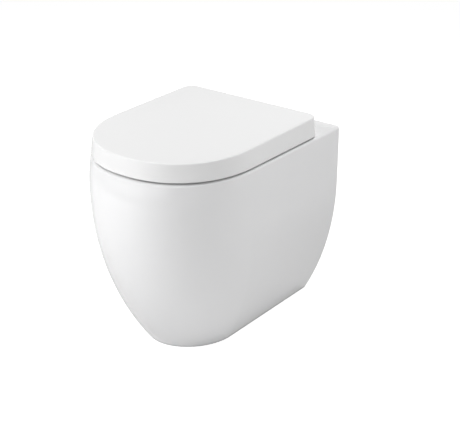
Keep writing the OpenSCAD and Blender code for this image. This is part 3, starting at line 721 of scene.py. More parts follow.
def back_opening(settings):
    """Cutter for the opening at the wall, which follows the skirt's sides."""
    pan, water = settings.pan, settings.water
    top = water.inlet_height - water.inlet_radius - water.wall - water.inlet_web
    right = [(side_at(pan, top * t) - pan.back_lip, top * t) for t in steps(10)]
    points = [(right[0][0], -PAST)] + right
    points += [(-x, z) for x, z in reversed(points)]
    rings = [
        [Vector((x, y, z)) for x, z in points]
        for y in (WALL + PAST, WALL - pan.wall - PAST)
    ]
    return skin("back_opening", rings)


def passage(settings, name, radius, start):
    """A bar along the water passage: a ring pushed and spun from bend to bend."""
    water = settings.water
    slope = water.leg_slope
    low = sump_floor(water) + water.bore
    crest = water.weir_height + water.bore
    rise_bend = water.bend * (1 - math.cos(slope))
    run_bend = water.bend * math.sin(slope)
    outlet_y = WALL - water.outlet_length
    fall = crest - water.outlet_height - 2 * rise_bend
    rise = crest - low - 2 * rise_bend
    crest_y = outlet_y - 2 * run_bend - fall / math.tan(slope)
    turn_y = crest_y - 2 * run_bend - rise / math.tan(slope)
    steps_a_slope = 10
    deselect()
    bpy.ops.mesh.primitive_circle_add(
        vertices=48, radius=radius, location=(0, 0, 0), rotation=(math.pi / 2, 0, 0)
    )
    piece = bpy.context.object
    piece.name = piece.data.name = name
    piece.data.transform(Matrix.Translation((0, start, low)) @ piece.matrix_world)
    piece.matrix_world = Matrix.Identity(4)
    bpy.ops.object.mode_set(mode="EDIT")
    bpy.ops.mesh.select_all(action="SELECT")

    def push(y, z):
        bpy.ops.mesh.extrude_edges_move(TRANSFORM_OT_translate={"value": (0, y, z)})

    def bend(centre_y, centre_z, turn):
        # A positive spin about +X takes +Y downwards here
        bpy.ops.mesh.spin(
            steps=round(abs(turn) / slope * steps_a_slope),
            angle=-turn,
            center=(0, centre_y, centre_z),
            axis=(1, 0, 0),
        )

    push(turn_y - start, 0)
    bend(turn_y, low + water.bend, slope)
    push(rise / math.tan(slope), rise)
    bend(crest_y, crest - water.bend, -2 * slope)
    push(fall / math.tan(slope), -fall)
    bend(outlet_y, water.outlet_height + water.bend, slope)
    push(PAST, 0)
    return close_up(piece)


def bowl_core(settings):
    """A solid whose surface runs down the middle of the bowl's wall, to trim with."""
    pan, bowl = settings.pan, settings.bowl
    grow = bowl.wall / 2
    rings = [sump_ring(settings, 1 - t, grow) for t in steps(4)][:-1]
    rings += [bowl_ring(settings, t, grow) for t in steps(16)]
    rings.append(mouth_ring(pan, bowl, pan.rim_height - bowl.ledge_drop, -grow))
    rings.append(mouth_ring(pan, bowl, pan.rim_height - pan.deck / 2, -grow))
    return skin("bowl_core", rings)


def channel_end(settings):
    return WALL - settings.bowl.deck_depth - 2 * settings.bowl.ledge_width


def waterways(settings):
    """Trapway, spigot, flush inlet and channel as one solid, trimmed at the bowl's wall."""
    bowl, water = settings.bowl, settings.water
    solid = passage(
        settings, "trapway", water.bore + water.wall, WALL - bowl.sump_back - bowl.sump_radius
    )
    spigot_long = water.outlet_length + water.outlet_web
    spigot = turned(
        "spigot",
        rounded_end(water.outlet_radius, spigot_long, water.edge),
        (0, WALL - spigot_long, water.outlet_height),
        (0, 1, 0),
        sides=96,
    )
    combine(solid, spigot, "UNION")
    inlet_long = water.inlet_length + water.wall
    inlet = bar(
        "inlet",
        water.inlet_radius + water.wall,
        (0, WALL - inlet_long, water.inlet_height),
        (0, 1, 0),
        inlet_long - settings.pan.wall / 2,
    )
    channel = bar(
        "channel",
        water.channel + water.wall,
        (0, channel_end(settings), water.inlet_height),
        (0, 1, 0),
        WALL - water.inlet_length - channel_end(settings),
    )
    combine(solid, combine(inlet, channel, "UNION"), "UNION")
    return combine(solid, bowl_core(settings), "DIFFERENCE")


def bosses(settings, pan_piece):
    """Adds the ceramic bosses that the clamp screws enter."""
    fixing, pan = settings.fixing, settings.pan
    end = side_at(pan, fixing.clamp_height - fixing.boss_radius) - pan.wall / 2
    for side in (-1, 1):
        start = (side * fixing.boss_face, WALL - fixing.clamp_depth, fixing.clamp_height)
        boss = bar("boss", fixing.boss_radius, start, (side, 0, 0), end - fixing.boss_face)
        combine(pan_piece, boss, "UNION")


def bores(settings, pan_piece):
    """Cuts the water passage, the bores and the fixing holes."""
    bowl, water, fixing, pan = settings.bowl, settings.water, settings.fixing, settings.pan
    start = WALL - bowl.sump_back - bowl.sump_width / 2
    combine(pan_piece, passage(settings, "passage", water.bore, start), "DIFFERENCE")
    outlet = (0, WALL - water.outlet_length, water.outlet_height)
    inlet = (0, WALL - water.inlet_length, water.inlet_height)
    channel = (0, channel_end(settings) - PAST, water.inlet_height)
    channel_long = WALL - channel[1] - water.inlet_length + PAST
    cutters = [
        bar("cut", water.outlet_radius - water.outlet_wall, outlet, (0, 1, 0), 2 * WALL),
        bar("cut", water.inlet_radius, inlet, (0, 1, 0), 2 * WALL),
        bar("cut", water.channel, channel, (0, 1, 0), channel_long),
    ]
    for side in (-1, 1):
        hole = (side * fixing.spacing / 2, HINGE_Y, pan.rim_height - pan.deck - PAST)
        deep = pan.deck + 2 * PAST
        cutters.append(bar("cut", fixing.hole_radius, hole, (0, 0, 1), deep, sides=48))
        boss = (
            side * (fixing.boss_face - PAST),
            WALL - fixing.clamp_depth,
            fixing.clamp_height,
        )
        deep = fixing.boss_hole_depth + PAST
        cutters.append(bar("cut", fixing.boss_hole, boss, (side, 0, 0), deep, sides=48))
    for cutter in cutters:
        combine(pan_piece, cutter, "DIFFERENCE")


class TOILET_OT_model_pan(bpy.types.Operator):
    """Model the ceramic pan: skirt, rim, bowl, trapway and outlet in one piece"""

    bl_idname = "toilet.model_pan"
    bl_label = "Model the pan"

    def execute(self, context):
        settings = context.scene.toilet
        piece = skin("ceramic_pan", pan_rings(settings))
        combine(piece, back_opening(settings), "DIFFERENCE")
        combine(piece, waterways(settings), "UNION")
        bosses(settings, piece)
        bores(settings, piece)
        finish_mesh(piece)
        piece.data.materials.append(glaze(settings))
        piece.data.materials.append(biscuit(settings))
        touch = 0.0004
        for face in piece.data.polygons:
            on_floor = face.center.z < touch
            at_wall = face.center.y > WALL - touch
            face.material_index = 1 if on_floor or at_wall else 0
        hand_over(piece, "pan", "glazed_ceramic", "pan")
        return {"FINISHED"}


# ---- Seat ----
def seat_outer(settings, z, inward):
    """A ring round the seat's outside, drawn in by inward."""
    points = outline(
        SEAT_HIGH.x - inward,
        WALL - SEAT_LOW.y - inward,
        WALL - SEAT_HIGH.y + inward,
        max(settings.seat.corner - inward / 2, LEAST_CORNER),
        settings.pan.rim_turn,
        settings.pan.rim_squareness,
    )
    return at_height(points, z)


def seat_inner(settings, z, grow):
    """A ring round the seat's opening, grown by grow."""
    seat = settings.seat
    points = outline(
        seat.hole_width / 2 + grow,
        seat.hole_front + grow,
        seat.hole_back - grow,
        seat.hole_corner + grow,
        settings.pan.rim_turn,
        settings.pan.rim_squareness,
    )
    return at_height(points, z)


def between(ring, other, t, z):
    return [Vector((mix(a.x, b.x, t), mix(a.y, b.y, t), z)) for a, b in zip(ring, other)]


def seat_rings(settings):
    """The seat's section, from its outer lower edge over its crown to the opening."""
    seat = settings.seat
    low, high = SEAT_LOW.z, SEAT_HIGH.z
    crown = 0.001
    outer_top = high - crown
    inner_top = high - seat.fall
    rings = []
    for sine, cosine in quarter(4):
        inward = seat.under_edge * (1 - sine)
        rings.append(seat_outer(settings, low + seat.under_edge * (1 - cosine), inward))
    for sine, cosine in quarter(8):
        inward = seat.edge * (1 - cosine)
        rings.append(seat_outer(settings, outer_top - seat.edge * (1 - sine), inward))
    outer = seat_outer(settings, outer_top, seat.edge)
    inner = seat_inner(settings, inner_top, seat.edge)
    peak = 0.4
    for t in steps(10, 1)[:-1]:
        if t < peak:
            z = mix(outer_top, high, 1 - ((peak - t) / peak) ** 2)
        else:
            z = mix(high, inner_top, ((t - peak) / (1 - peak)) ** 2)
        rings.append(between(outer, inner, t, z))
    for sine, cosine in quarter(8):
        grow = seat.edge * (1 - sine)
        rings.append(seat_inner(settings, inner_top - seat.edge * (1 - cosine), grow))
    for sine, cosine in quarter(4):
        grow = seat.under_edge * (1 - cosine)
        rings.append(seat_inner(settings, low + seat.under_edge * (1 - sine), grow))
    return rings


def buffer_boxes(node):
    """Lowest and highest corner of each of a node's round buffers, which stand well apart."""
    apart = 0.03
    groups = []
    for vertex in frame["nodes"][node].data.vertices:
        spot = vertex.co.copy()
        near = [group for group in groups if (group[0].xy - spot.xy).length < apart]
        if near:
            near[0].append(spot)
        else:
            groups.append([spot])
    return [
        (Vector(map(min, zip(*group))), Vector(map(max, zip(*group)))) for group in groups
    ]


def cut_buffer_seats(settings, piece, node, below):
    """Lets a node's round buffers into the piece that carries them."""
    for low, high in buffer_boxes(node):
        place = ((low.x + high.x) / 2, (low.y + high.y) / 2, low.z - below)
        long = high.z - low.z + below
        cutter = bar("cut", settings.hinge.buffer, place, (0, 0, 1), long, sides=48)
        combine(piece, cutter, "DIFFERENCE")


class TOILET_OT_model_seat(bpy.types.Operator):
    """Model the seat ring with its crowned top, arm pockets and buffer recesses"""

    bl_idname = "toilet.model_seat"
    bl_label = "Model the seat ring"

    def execute(self, context):
        settings = context.scene.toilet
        piece = skin("seat_body", seat_rings(settings), closed=True)
        plate = settings.hinge.plate
        for node in ("seat_arm_left", "seat_arm_right"):
            low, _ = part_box(node)
            low_x, high_x = plate_span(node)
            pocket = block(
                "cut",
                (low_x - ROOM, low.y - ROOM, SEAT_LOW.z - PAST),
                (high_x + ROOM, SEAT_HIGH.y + PAST, SEAT_LOW.z + plate),
            )
            combine(piece, pocket, "DIFFERENCE")
        cut_buffer_seats(settings, piece, "seat_buffers", PAST)
        complete(piece, settings, "seat", "white_duroplast", "seat_ring")
        return {"FINISHED"}


def plate_span(node):
    """Lowest and highest x of a hinge arm's flat plate, away from its knuckle."""
    low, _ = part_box(node)
    front_strip = 0.004
    xs = [v.co.x for v in frame["nodes"][node].data.vertices if v.co.y < low.y + front_strip]
    return min(xs), max(xs)


# ---- Lid ----
def lid_slope(lid):
    """Slope of the lid's top and underside, which rise to the back."""
    return lid.rise / (LID_HIGH.y - LID_LOW.y)


def lid_under(lid, y):
    """Height of the lid's underside at a place."""
    return LID_LOW.z + lid.height - lid.top + lid_slope(lid) * (y - LID_LOW.y)


def slot_start(lid):
    """Where the slot for the hinge arms starts, and how high it is."""
    y = LID_HIGH.y - lid.skirt - lid.draft - lid.fillet
    return y, lid_under(lid, y)


def lid_ring(settings, z, inward, rising=0.0):
    """A ring of the lid from its height at the front, which rises by a share of the slope."""
    lid = settings.lid
    points = outline(
        LID_HIGH.x - inward,
        WALL - LID_LOW.y - inward,
        WALL - LID_HIGH.y + inward,
        max(lid.corner - inward, LEAST_CORNER),
        settings.pan.rim_turn,
        settings.pan.rim_squareness,
    )
    ring = at_height(points, z)
    for point in ring:
        point.z += rising * lid_slope(lid) * (point.y - LID_LOW.y)
    return ring


def lid_rings(settings):
    """The lid's skin, from its underside down the skirt, round its edge and up to the top."""
    lid = settings.lid
    low = LID_LOW.z
    high = low + lid.height
    under = high - lid.top
    inner = lid.skirt + lid.draft
    rings = []
    for sine, cosine in quarter(5):
        inward = inner + lid.fillet * (1 - sine)
        rings.append(lid_ring(settings, under - lid.fillet * (1 - cosine), inward, 1))
    for sine, cosine in quarter(4):
        inward = lid.skirt - lid.low_edge * (1 - cosine)
        rings.append(lid_ring(settings, low + lid.low_edge * (1 - sine), inward))
    for sine, cosine in quarter(4):
        inward = lid.low_edge * (1 - sine)
        rings.append(lid_ring(settings, low + lid.low_edge * (1 - cosine), inward))
    for t in steps(4, 1)[:-1]:
        height = mix(low + lid.low_edge, high - lid.edge, t)
        rings.append(lid_ring(settings, height, lid.draft * t, t))
    for sine, cosine in quarter(12):
        inward = lid.draft + lid.edge * (1 - cosine)
        rings.append(lid_ring(settings, high - lid.edge * (1 - sine), inward, 1))
    return rings


class TOILET_OT_model_lid(bpy.types.Operator):
    """Model the lid as a thin cap with rounded edges, a hinge slot and buffer recesses"""

    bl_idname = "toilet.model_lid"
    bl_label = "Model the lid"

    def execute(self, context):
        settings = context.scene.toilet
        lid = settings.lid
        piece = skin("lid_cover", lid_rings(settings))
        slot_y, slot_top = slot_start(lid)
        slot = block(
            "cut",
            (-lid.slot, slot_y, LID_LOW.z - PAST),
            (lid.slot, LID_HIGH.y + PAST, slot_top),
        )
        combine(piece, slot, "DIFFERENCE")
        cut_buffer_seats(settings, piece, "lid_buffers", 0.0)
        complete(piece, settings, "lid", "white_duroplast", "lid")
        return {"FINISHED"}


# ---- Hinges ----
def knuckle_starts(settings):
    """Start of the right seat knuckle and of the right lid knuckle along X."""
    hinge = settings.hinge
    middle = settings.fixing.spacing / 2
    seat_start = middle - hinge.pillar / 2 - hinge.gap - hinge.knuckle_width
    return seat_start, middle + hinge.pillar / 2 + hinge.gap


def pillar_profile(hinge, low):
    points = [(HINGE_Y + hinge.knuckle, low)]
    for t in steps(24):
        turn = math.pi * t
        y = HINGE_Y + hinge.knuckle * math.cos(turn)
        points.append((y, HINGE_Z + hinge.knuckle * math.sin(turn)))
    return points + [(HINGE_Y - hinge.knuckle, low)]


class TOILET_OT_model_hinge_bases(bpy.types.Operator):
    """Model the two round hinge bases with their pillars, pins and gaskets"""

    bl_idname = "toilet.model_hinge_bases"
    bl_label = "Model the hinge bases"

    def execute(self, context):
        settings = context.scene.toilet
        hinge = settings.hinge
        rim = settings.pan.rim_height
        low = rim + hinge.gasket
        gaskets = []
        for side, name in ((-1, "left"), (1, "right")):
            x = side * settings.fixing.spacing / 2
            foot = rounded_end(hinge.base, hinge.base_thickness, 2 * hinge.edge)
            base = turned(f"base_{name}", foot, (x, HINGE_Y, low), (0, 0, 1), sides=96)
            profile = pillar_profile(hinge, low + hinge.base_thickness / 2)
            pillar = prism("pillar", profile, x - hinge.pillar / 2, x + hinge.pillar / 2)
            combine(base, soften(pillar, hinge.edge), "UNION")
            wide = hinge.pillar
            bore = bar("cut", hinge.pin, (x - wide, HINGE_Y, HINGE_Z), (1, 0, 0), 2 * wide, sides=48)
            combine(base, bore, "DIFFERENCE")
            below = (x, HINGE_Y, low - PAST)
            hole = bar("cut", hinge.stud, below, (0, 0, 1), hinge.stud_depth + PAST, sides=48)
            combine(base, hole, "DIFFERENCE")
            complete(base, settings, "pan", "polished_hinge", f"hinge_base_{name}")
            span = hinge.pillar + 2 * hinge.gap + 2 * hinge.knuckle_width
            start = (x - span / 2, HINGE_Y, HINGE_Z)
            pin = round_bar(f"pin_{name}", hinge.pin, start, (1, 0, 0), span, hinge.edge, sides=48)
            complete(pin, settings, "pan", "stainless", f"hinge_pin_{name}")
            section = [
                (hinge.gasket_hole, 0),
                (hinge.base, 0),
                (hinge.base, hinge.gasket),
                (hinge.gasket_hole, hinge.gasket),
            ]
            ring = turned("gaskets", section, (x, HINGE_Y, rim), (0, 0, 1), sides=96, closed=True)
            gaskets.append(ring)
        complete(gather(gaskets), settings, "pan", "black_rubber", "base_gaskets")
        return {"FINISHED"}


def screw_places(settings, x, low, slope):
    """Where an arm's two screws start, below a plate that rises by a slope from its front."""
    hinge = settings.hinge
    front = HINGE_Y - hinge.reach
    return [
        Vector((x, front + along, low + slope * along))
        for along in (hinge.screw_in, hinge.screw_in + hinge.screw_pitch)
    ]


def screw_profile(hinge, long, past=0.0):
    """Profile of a countersunk screw from the face of its head."""
    head = hinge.screw_head
    slope = head - hinge.screw
    return [(head, -past), (head, 0.0), (hinge.screw, slope), (hinge.screw, hinge.plate + long)]


def model_arm(settings, name, start, profile, damper, slope=0.0):
    """A hinge arm: a web and plate, and a knuckle that is longer where it holds a damper."""
    hinge = settings.hinge
    wide = hinge.knuckle_width
    extra = (hinge.damper_length + hinge.damper_cap) if damper else 0.0
    arm = soften(prism(name, profile, start, start + wide), hinge.edge)
    place = (start, HINGE_Y, HINGE_Z)
    knuckle = round_bar("knuckle", hinge.knuckle, place, (1, 0, 0), wide + extra, hinge.edge)
    combine(arm, knuckle, "UNION")
    bore = hinge.pin + hinge.clearance
    place = (start - PAST, HINGE_Y, HINGE_Z)
    deep = wide + (PAST if damper else 2 * PAST)
    combine(arm, bar("cut", bore, place, (1, 0, 0), deep, sides=48), "DIFFERENCE")
    if damper:
        place = (start + wide - hinge.edge / 4, HINGE_Y, HINGE_Z)
        deep = hinge.damper_length + hinge.edge / 4
        combine(arm, bar("cut", hinge.damper, place, (1, 0, 0), deep, sides=48), "DIFFERENCE")
    for place in screw_places(settings, start + wide / 2, profile[0][1], slope):
        hole = turned("cut", screw_profile(hinge, PAST, PAST), place, (0, 0, 1), sides=32)
        combine(arm, hole, "DIFFERENCE")
    return arm


def model_arm_screws(settings, name, x, low, long, slope=0.0):
    """The four countersunk screws of a pair of arms, each with a cross recess."""
    hinge = settings.hinge
    places = screw_places(settings, -x, low, slope) + screw_places(settings, x, low, slope)
    first = places[0]
    screw = turned(name, screw_profile(hinge, long), first, (0, 0, 1), sides=32)
    reach, slim, deep = 0.6 * hinge.screw_head, 0.0004, 0.0011
    for across in ((reach, slim), (slim, reach)):
        out = Vector((*across, deep))
        low, high = first - out, first + out
        combine(screw, block("cut", low, high), "DIFFERENCE")
    return repeat(screw, [tuple(place - first) for place in places[1:]])


def model_buffers(settings, name, node):
    """Round buffers with a rounded lower end, where the node has them."""
    edge = 0.0012
    pieces = []
    for low, high in buffer_boxes(node):
        long = high.z - low.z
        profile = [(r, long - h) for r, h in rounded_end(settings.hinge.buffer, long, edge)]
        place = ((low.x + high.x) / 2, (low.y + high.y) / 2, low.z)
        pieces.append(turned(name, profile[::-1], place, (0, 0, 1), sides=48))
    return gather(pieces)


def model_fittings(settings, body, start, profile, damper, screw_long, slope=0.0):
    """The two arms of the seat or lid, their screws and the buffers below it."""
    wide = settings.hinge.knuckle_width
    low = profile[0][1]
    for side, place in (("left", -start - wide), ("right", start)):
        name = f"{body}_arm_{side[0]}"
        arm = model_arm(settings, name, place, profile, damper == side, slope)
        complete(arm, settings, body, "polished_hinge", f"{body}_arm_{side}")
    middle = start + wide / 2
    screws = model_arm_screws(settings, f"{body}_screws", middle, low, screw_long, slope)
    complete(screws, settings, body, "stainless", f"{body}_arm_screws")
    buffers = model_buffers(settings, f"{body}_feet", f"{body}_buffers")
    complete(buffers, settings, body, "white_rubber", f"{body}_buffers")


class TOILET_OT_model_seat_fittings(bpy.types.Operator):
    """Model the seat's two hinge arms, their screws and the seat's buffers"""

    bl_idname = "toilet.model_seat_fittings"
    bl_label = "Model the seat's fittings"

    def execute(self, context):
        settings = context.scene.toilet
        hinge = settings.hinge
        low = SEAT_LOW.z
        front = HINGE_Y - hinge.reach
        neck = 0.006
        profile = [
            (front, low),
            (SEAT_HIGH.y, low),
            (LID_HIGH.y - neck, low + neck / 6),
            (HINGE_Y, HINGE_Z - hinge.knuckle),
            (HINGE_Y, HINGE_Z),
            (SEAT_HIGH.y + ROOM, HINGE_Z),
            (SEAT_HIGH.y + ROOM, low + hinge.plate),
            (front, low + hinge.plate),
        ]
        start, _ = knuckle_starts(settings)
        model_fittings(settings, "seat", start, profile, "left", hinge.seat_screw)
        return {"FINISHED"}


class TOILET_OT_model_lid_fittings(bpy.types.Operator):
    """Model the lid's two hinge arms, their screws and the lid's buffers"""

    bl_idname = "toilet.model_lid_fittings"
    bl_label = "Model the lid's fittings"

    def execute(self, context):
        settings = context.scene.toilet
        hinge, lid = settings.hinge, settings.lid
        front = HINGE_Y - hinge.reach
        under = lid_under(lid, front)
        slot_y, slot_top = slot_start(lid)
        heel = 0.002
        inside = LID_HIGH.y - lid.skirt - lid.draft
        profile = [
            (front, under - hinge.plate),
            (slot_y, slot_top - hinge.plate),
            (inside + heel, slot_top - hinge.plate),
            (HINGE_Y - hinge.knuckle, HINGE_Z - heel),
            (HINGE_Y, HINGE_Z),
            (HINGE_Y, HINGE_Z + hinge.knuckle),
            (LID_HIGH.y + heel, slot_top),
            (slot_y, slot_top),
            (front, under),
        ]
        _, start = knuckle_starts(settings)
        slope = lid_slope(lid)
        model_fittings(settings, "lid", start, profile, "right", hinge.lid_screw, slope)
        return {"FINISHED"}


# ---- Floor brackets and flush seal ----
def bracket_profile(bracket, upright, side):
    """Section of the folded bracket in X and Z, for the bracket on one side."""
    outside = upright + bracket.plate
    toe = outside - bracket.foot
    bend, inner = bracket.bend, bracket.bend - bracket.plate
    points = [(toe, 0.0)]
    for sine, cosine in quarter(8):
        points.append((outside - bend * (1 - sine), bend * (1 - cosine)))
    points += [(outside, bracket.height), (upright, bracket.height)]
    for sine, cosine in quarter(6):
        x = upright - inner * (1 - cosine)
        points.append((x, bracket.plate + inner * (1 - sine)))
    points.append((toe, bracket.plate))
    return [(side * x, z) for x, z in points]


class TOILET_OT_model_brackets(bpy.types.Operator):
    """Model the floor brackets with their clamp screws and sleeves"""

    bl_idname = "toilet.model_brackets"
    bl_label = "Model the floor brackets"

    def execute(self, context):
        settings = context.scene.toilet
        bracket, fixing = settings.bracket, settings.fixing
        upright = fixing.boss_face - bracket.flange - bracket.plate
        y = WALL - fixing.clamp_depth
        sleeves, screws = [], []
        for side, name in ((-1, "left"), (1, "right")):
            piece = self.folded_plate(settings, f"bracket_{name}", side, y, upright)
            complete(piece, settings, "pan", "zinc_steel", f"floor_bracket_{name}")
            sleeves.append(self.sleeve(settings, side, y))
            screws.append(self.screw(settings, side, y, upright))
        complete(gather(sleeves), settings, "pan", "white_nylon", "clamp_sleeves")
        complete(gather(screws), settings, "pan", "stainless", "clamp_screws")
        return {"FINISHED"}

    def folded_plate(self, settings, name, side, y, upright):
        """A folded bracket with a web at each end, two floor holes and the clamp's hole."""
        bracket, fixing = settings.bracket, settings.fixing
        half = bracket.width / 2
        piece = prism(name, bracket_profile(bracket, upright, side), y - half, y + half, "Y")
        # The webs begin inside the foot's plate
        web_low = 0.001
        toe = upright - bracket.web_reach
        top = bracket.height - bracket.web_drop
        inside = upright + bracket.plate / 2
        web = [(inside, web_low), (inside, top), (upright, top)]
        web += [(toe, bracket.plate), (toe, web_low)]
        web = [(side * x, z) for x, z in web]
        for end in (-1, 1):
            outer = y + end * half
            inner = outer - end * bracket.plate
            combine(piece, prism("web", web, min(inner, outer), max(inner, outer), "Y"), "UNION")
        soften(piece, bracket.edge)
        deep = bracket.plate + 2 * PAST
        for end in (-1, 1):
            place = (
                side * (upright - bracket.floor_hole_in),
                y + end * bracket.floor_hole_pitch / 2,
                -PAST,
            )
            hole = bar("cut", bracket.floor_hole, place, (0, 0, 1), deep, sides=48)
            combine(piece, hole, "DIFFERENCE")
        place = (side * (upright - PAST), y, fixing.clamp_height)
        hole = bar("cut", bracket.clamp + bracket.clearance, place, (side, 0, 0), deep, sides=48)
        return combine(piece, hole, "DIFFERENCE")

    def sleeve(self, settings, side, y):
        bracket, fixing = settings.bracket, settings.fixing
        place = (side * (fixing.boss_face - bracket.flange), y, fixing.clamp_height)
        end = bracket.flange + bracket.sleeve_length
        edge = bracket.edge
        section = [
            (bracket.clamp, 0),
            (bracket.flange_radius - edge, 0),
            (bracket.flange_radius, edge),
            (bracket.flange_radius, bracket.flange),
            (bracket.sleeve, bracket.flange),
            (bracket.sleeve, end - edge),
            (bracket.sleeve - edge, end),
            (bracket.clamp, end),
        ]
        return turned("sleeves", section, place, (side, 0, 0), sides=48, closed=True)

    def screw(self, settings, side, y, upright):
        """A clamp screw with a rounded head and a hexagon socket."""
        bracket, fixing = settings.bracket, settings.fixing
        place = (side * (upright - bracket.head_height), y, fixing.clamp_height)
        head = bracket.head_height
        wide = 2 * bracket.clamp
        edge = 2 * bracket.edge
        long = head + bracket.plate + bracket.flange + bracket.sleeve_length
        profile = [(wide - edge, 0), (wide - edge / 3, edge / 3), (wide, edge), (wide, head)]
        profile += [(bracket.clamp, head), (bracket.clamp, long)]
        screw = turned("clamps", profile, place, (side, 0, 0), sides=48)
        start = (place[0] - side * PAST, y, fixing.clamp_height)
        deep = PAST + bracket.socket_depth
        socket = bar("cut", bracket.socket, start, (side, 0, 0), deep, sides=6)
        return combine(screw, socket, "DIFFERENCE")


class TOILET_OT_model_inlet_seal(bpy.types.Operator):
    """Model the rubber seal of the flush inlet"""

    bl_idname = "toilet.model_inlet_seal"
    bl_label = "Model the inlet seal"

    def execute(self, context):
        settings = context.scene.toilet
        water = settings.water
        bore, outer = water.seal_bore, water.inlet_radius
        long = water.inlet_length - water.seal_short
        edge = 0.001
        groove, groove_start, groove_end, flank = 0.0025, 0.008, 0.016, 0.002
        section = [
            (bore + edge, 0.0),
            (outer - ROOM, 0.0),
            (outer - ROOM, groove_start),
            (outer - groove, groove_start + flank),
            (outer - groove, groove_end - flank),
            (outer - ROOM, groove_end),
            (outer - edge, long),
            (bore + edge, long),
            (bore, long - edge),
            (bore, edge),
        ]
        place = (0, WALL, water.inlet_height)
        piece = turned("flush_seal", section, place, (0, -1, 0), sides=96, closed=True)
        complete(piece, settings, "pan", "black_rubber", "inlet_seal")
        return {"FINISHED"}


# ---- Finishes ----
def new_material(name, base, roughness, **inputs):
    """A material whose shader holds the plain values, with its node tree and its shader."""
    material = bpy.data.materials.new(name)
    material.use_nodes = True
    shader = material.node_tree.nodes["Principled BSDF"]
    shader.inputs["Base Color"].default_value = (*base, 1)
    shader.inputs["Roughness"].default_value = roughness
    for key, value in inputs.items():
        shader.inputs[key.replace("_", " ")].default_value = value
    return material, material.node_tree, shader


def add_noise(tree, scale, detail, stretch=(1, 1, 1)):
    """Noise on Object coordinates, stretched along the axes."""
    coordinates = tree.nodes.new("ShaderNodeTexCoord")
    mapping = tree.nodes.new("ShaderNodeMapping")
    mapping.inputs["Scale"].default_value = stretch
    noise = tree.nodes.new("ShaderNodeTexNoise")
    noise.inputs["Scale"].default_value = scale
    noise.inputs["Detail"].default_value = detail
    tree.links.new(coordinates.outputs["Object"], mapping.inputs["Vector"])
    tree.links.new(mapping.outputs["Vector"], noise.inputs["Vector"])
    return noise.outputs["Fac"]


def add_tint(tree, shader, pattern, base, other):
    """Varies the base colour between two near tones by a pattern."""
    blend = tree.nodes.new("ShaderNodeMix")
    blend.data_type = "RGBA"
    blend.inputs["A"].default_value = (*base, 1)
    blend.inputs["B"].default_value = (*other, 1)
    tree.links.new(pattern, blend.inputs["Factor"])
    tree.links.new(blend.outputs["Result"], shader.inputs["Base Color"])


def add_roughness(tree, shader, pattern, low, high):
    """Varies the roughness from low to high by a pattern."""
    node = tree.nodes.new("ShaderNodeMapRange")
    node.inputs["To Min"].default_value = low
    node.inputs["To Max"].default_value = high
    tree.links.new(pattern, node.inputs["Value"])
    tree.links.new(node.outputs["Result"], shader.inputs["Roughness"])


def add_bump(tree, shader, pattern, strength, distance):
    """Raises and sinks the surface by a pattern, for its shading only."""
    bump = tree.nodes.new("ShaderNodeBump")
    bump.inputs["Strength"].default_value = strength
    bump.inputs["Distance"].default_value = distance
    tree.links.new(pattern, bump.inputs["Height"])
    tree.links.new(bump.outputs["Normal"], shader.inputs["Normal"])


def darker(base, share):
    return tuple(c * share for c in base)


def made_once(make):
    """Lets a finish be asked for by many pieces, while its material is made only once."""
    made = {}

    def ask(settings):
        if make not in made:
            made[make] = make(settings)
        return made[make]

    return ask


@made_once
def glaze(settings):
    """Thick white glaze: mirror-smooth, with a faint orange peel and cloudy depth."""
    base = settings.finish.glaze
    material, tree, shader = new_material("white_glaze", base, roughness=0.12, IOR=1.52)
    cloud = add_noise(tree, scale=9, detail=2)
    add_tint(tree, shader, cloud, darker(base, 0.985), base)
    peel = add_noise(tree, scale=220, detail=1)
    add_bump(tree, shader, peel, strength=0.03, distance=0.0006)
    add_roughness(tree, shader, add_noise(tree, scale=35, detail=3), low=0.09, high=0.15)
    return material


@made_once
def biscuit(settings):
    """Bare fired clay: matt, warm and finely grained."""
    base = settings.finish.biscuit
    material, tree, shader = new_material("bare_biscuit", base, roughness=0.85)
    grain = add_noise(tree, scale=900, detail=4)
    add_tint(tree, shader, grain, darker(base, 0.85), base)
    add_bump(tree, shader, grain, strength=0.4, distance=0.0003)
    return material


@made_once
def seat_plastic(settings):
    """White moulded thermoset: glossy, with the softest ripple."""
    base = settings.finish.plastic
    material, tree, shader = new_material("white_duroplast", base, roughness=0.2, IOR=1.5)
    cloud = add_noise(tree, scale=6, detail=2)
    add_tint(tree, shader, cloud, darker(base, 0.988), base)
    add_bump(tree, shader, add_noise(tree, scale=160, detail=1), strength=0.02, distance=0.0004)
    add_roughness(tree, shader, add_noise(tree, scale=60, detail=3), low=0.16, high=0.24)
    return material


@made_once
def polished_chrome(settings):
    base = settings.finish.chrome
    material, tree, shader = new_material("polished_hinge", base, roughness=0.08, Metallic=1.0)
    marks = add_noise(tree, scale=400, detail=4, stretch=(1, 6, 1))
    add_roughness(tree, shader, marks, low=0.05, high=0.14)
    add_bump(tree, shader, marks, strength=0.02, distance=0.0001)
    return material


@made_once
def brushed_steel(settings):
    base = settings.finish.steel
    material, tree, shader = new_material("stainless", base, roughness=0.28, Metallic=1.0)
    lines = add_noise(tree, scale=300, detail=5, stretch=(1, 1, 12))
    add_tint(tree, shader, lines, darker(base, 0.88), base)
    add_roughness(tree, shader, lines, low=0.2, high=0.38)
    add_bump(tree, shader, lines, strength=0.08, distance=0.0001)
    return material


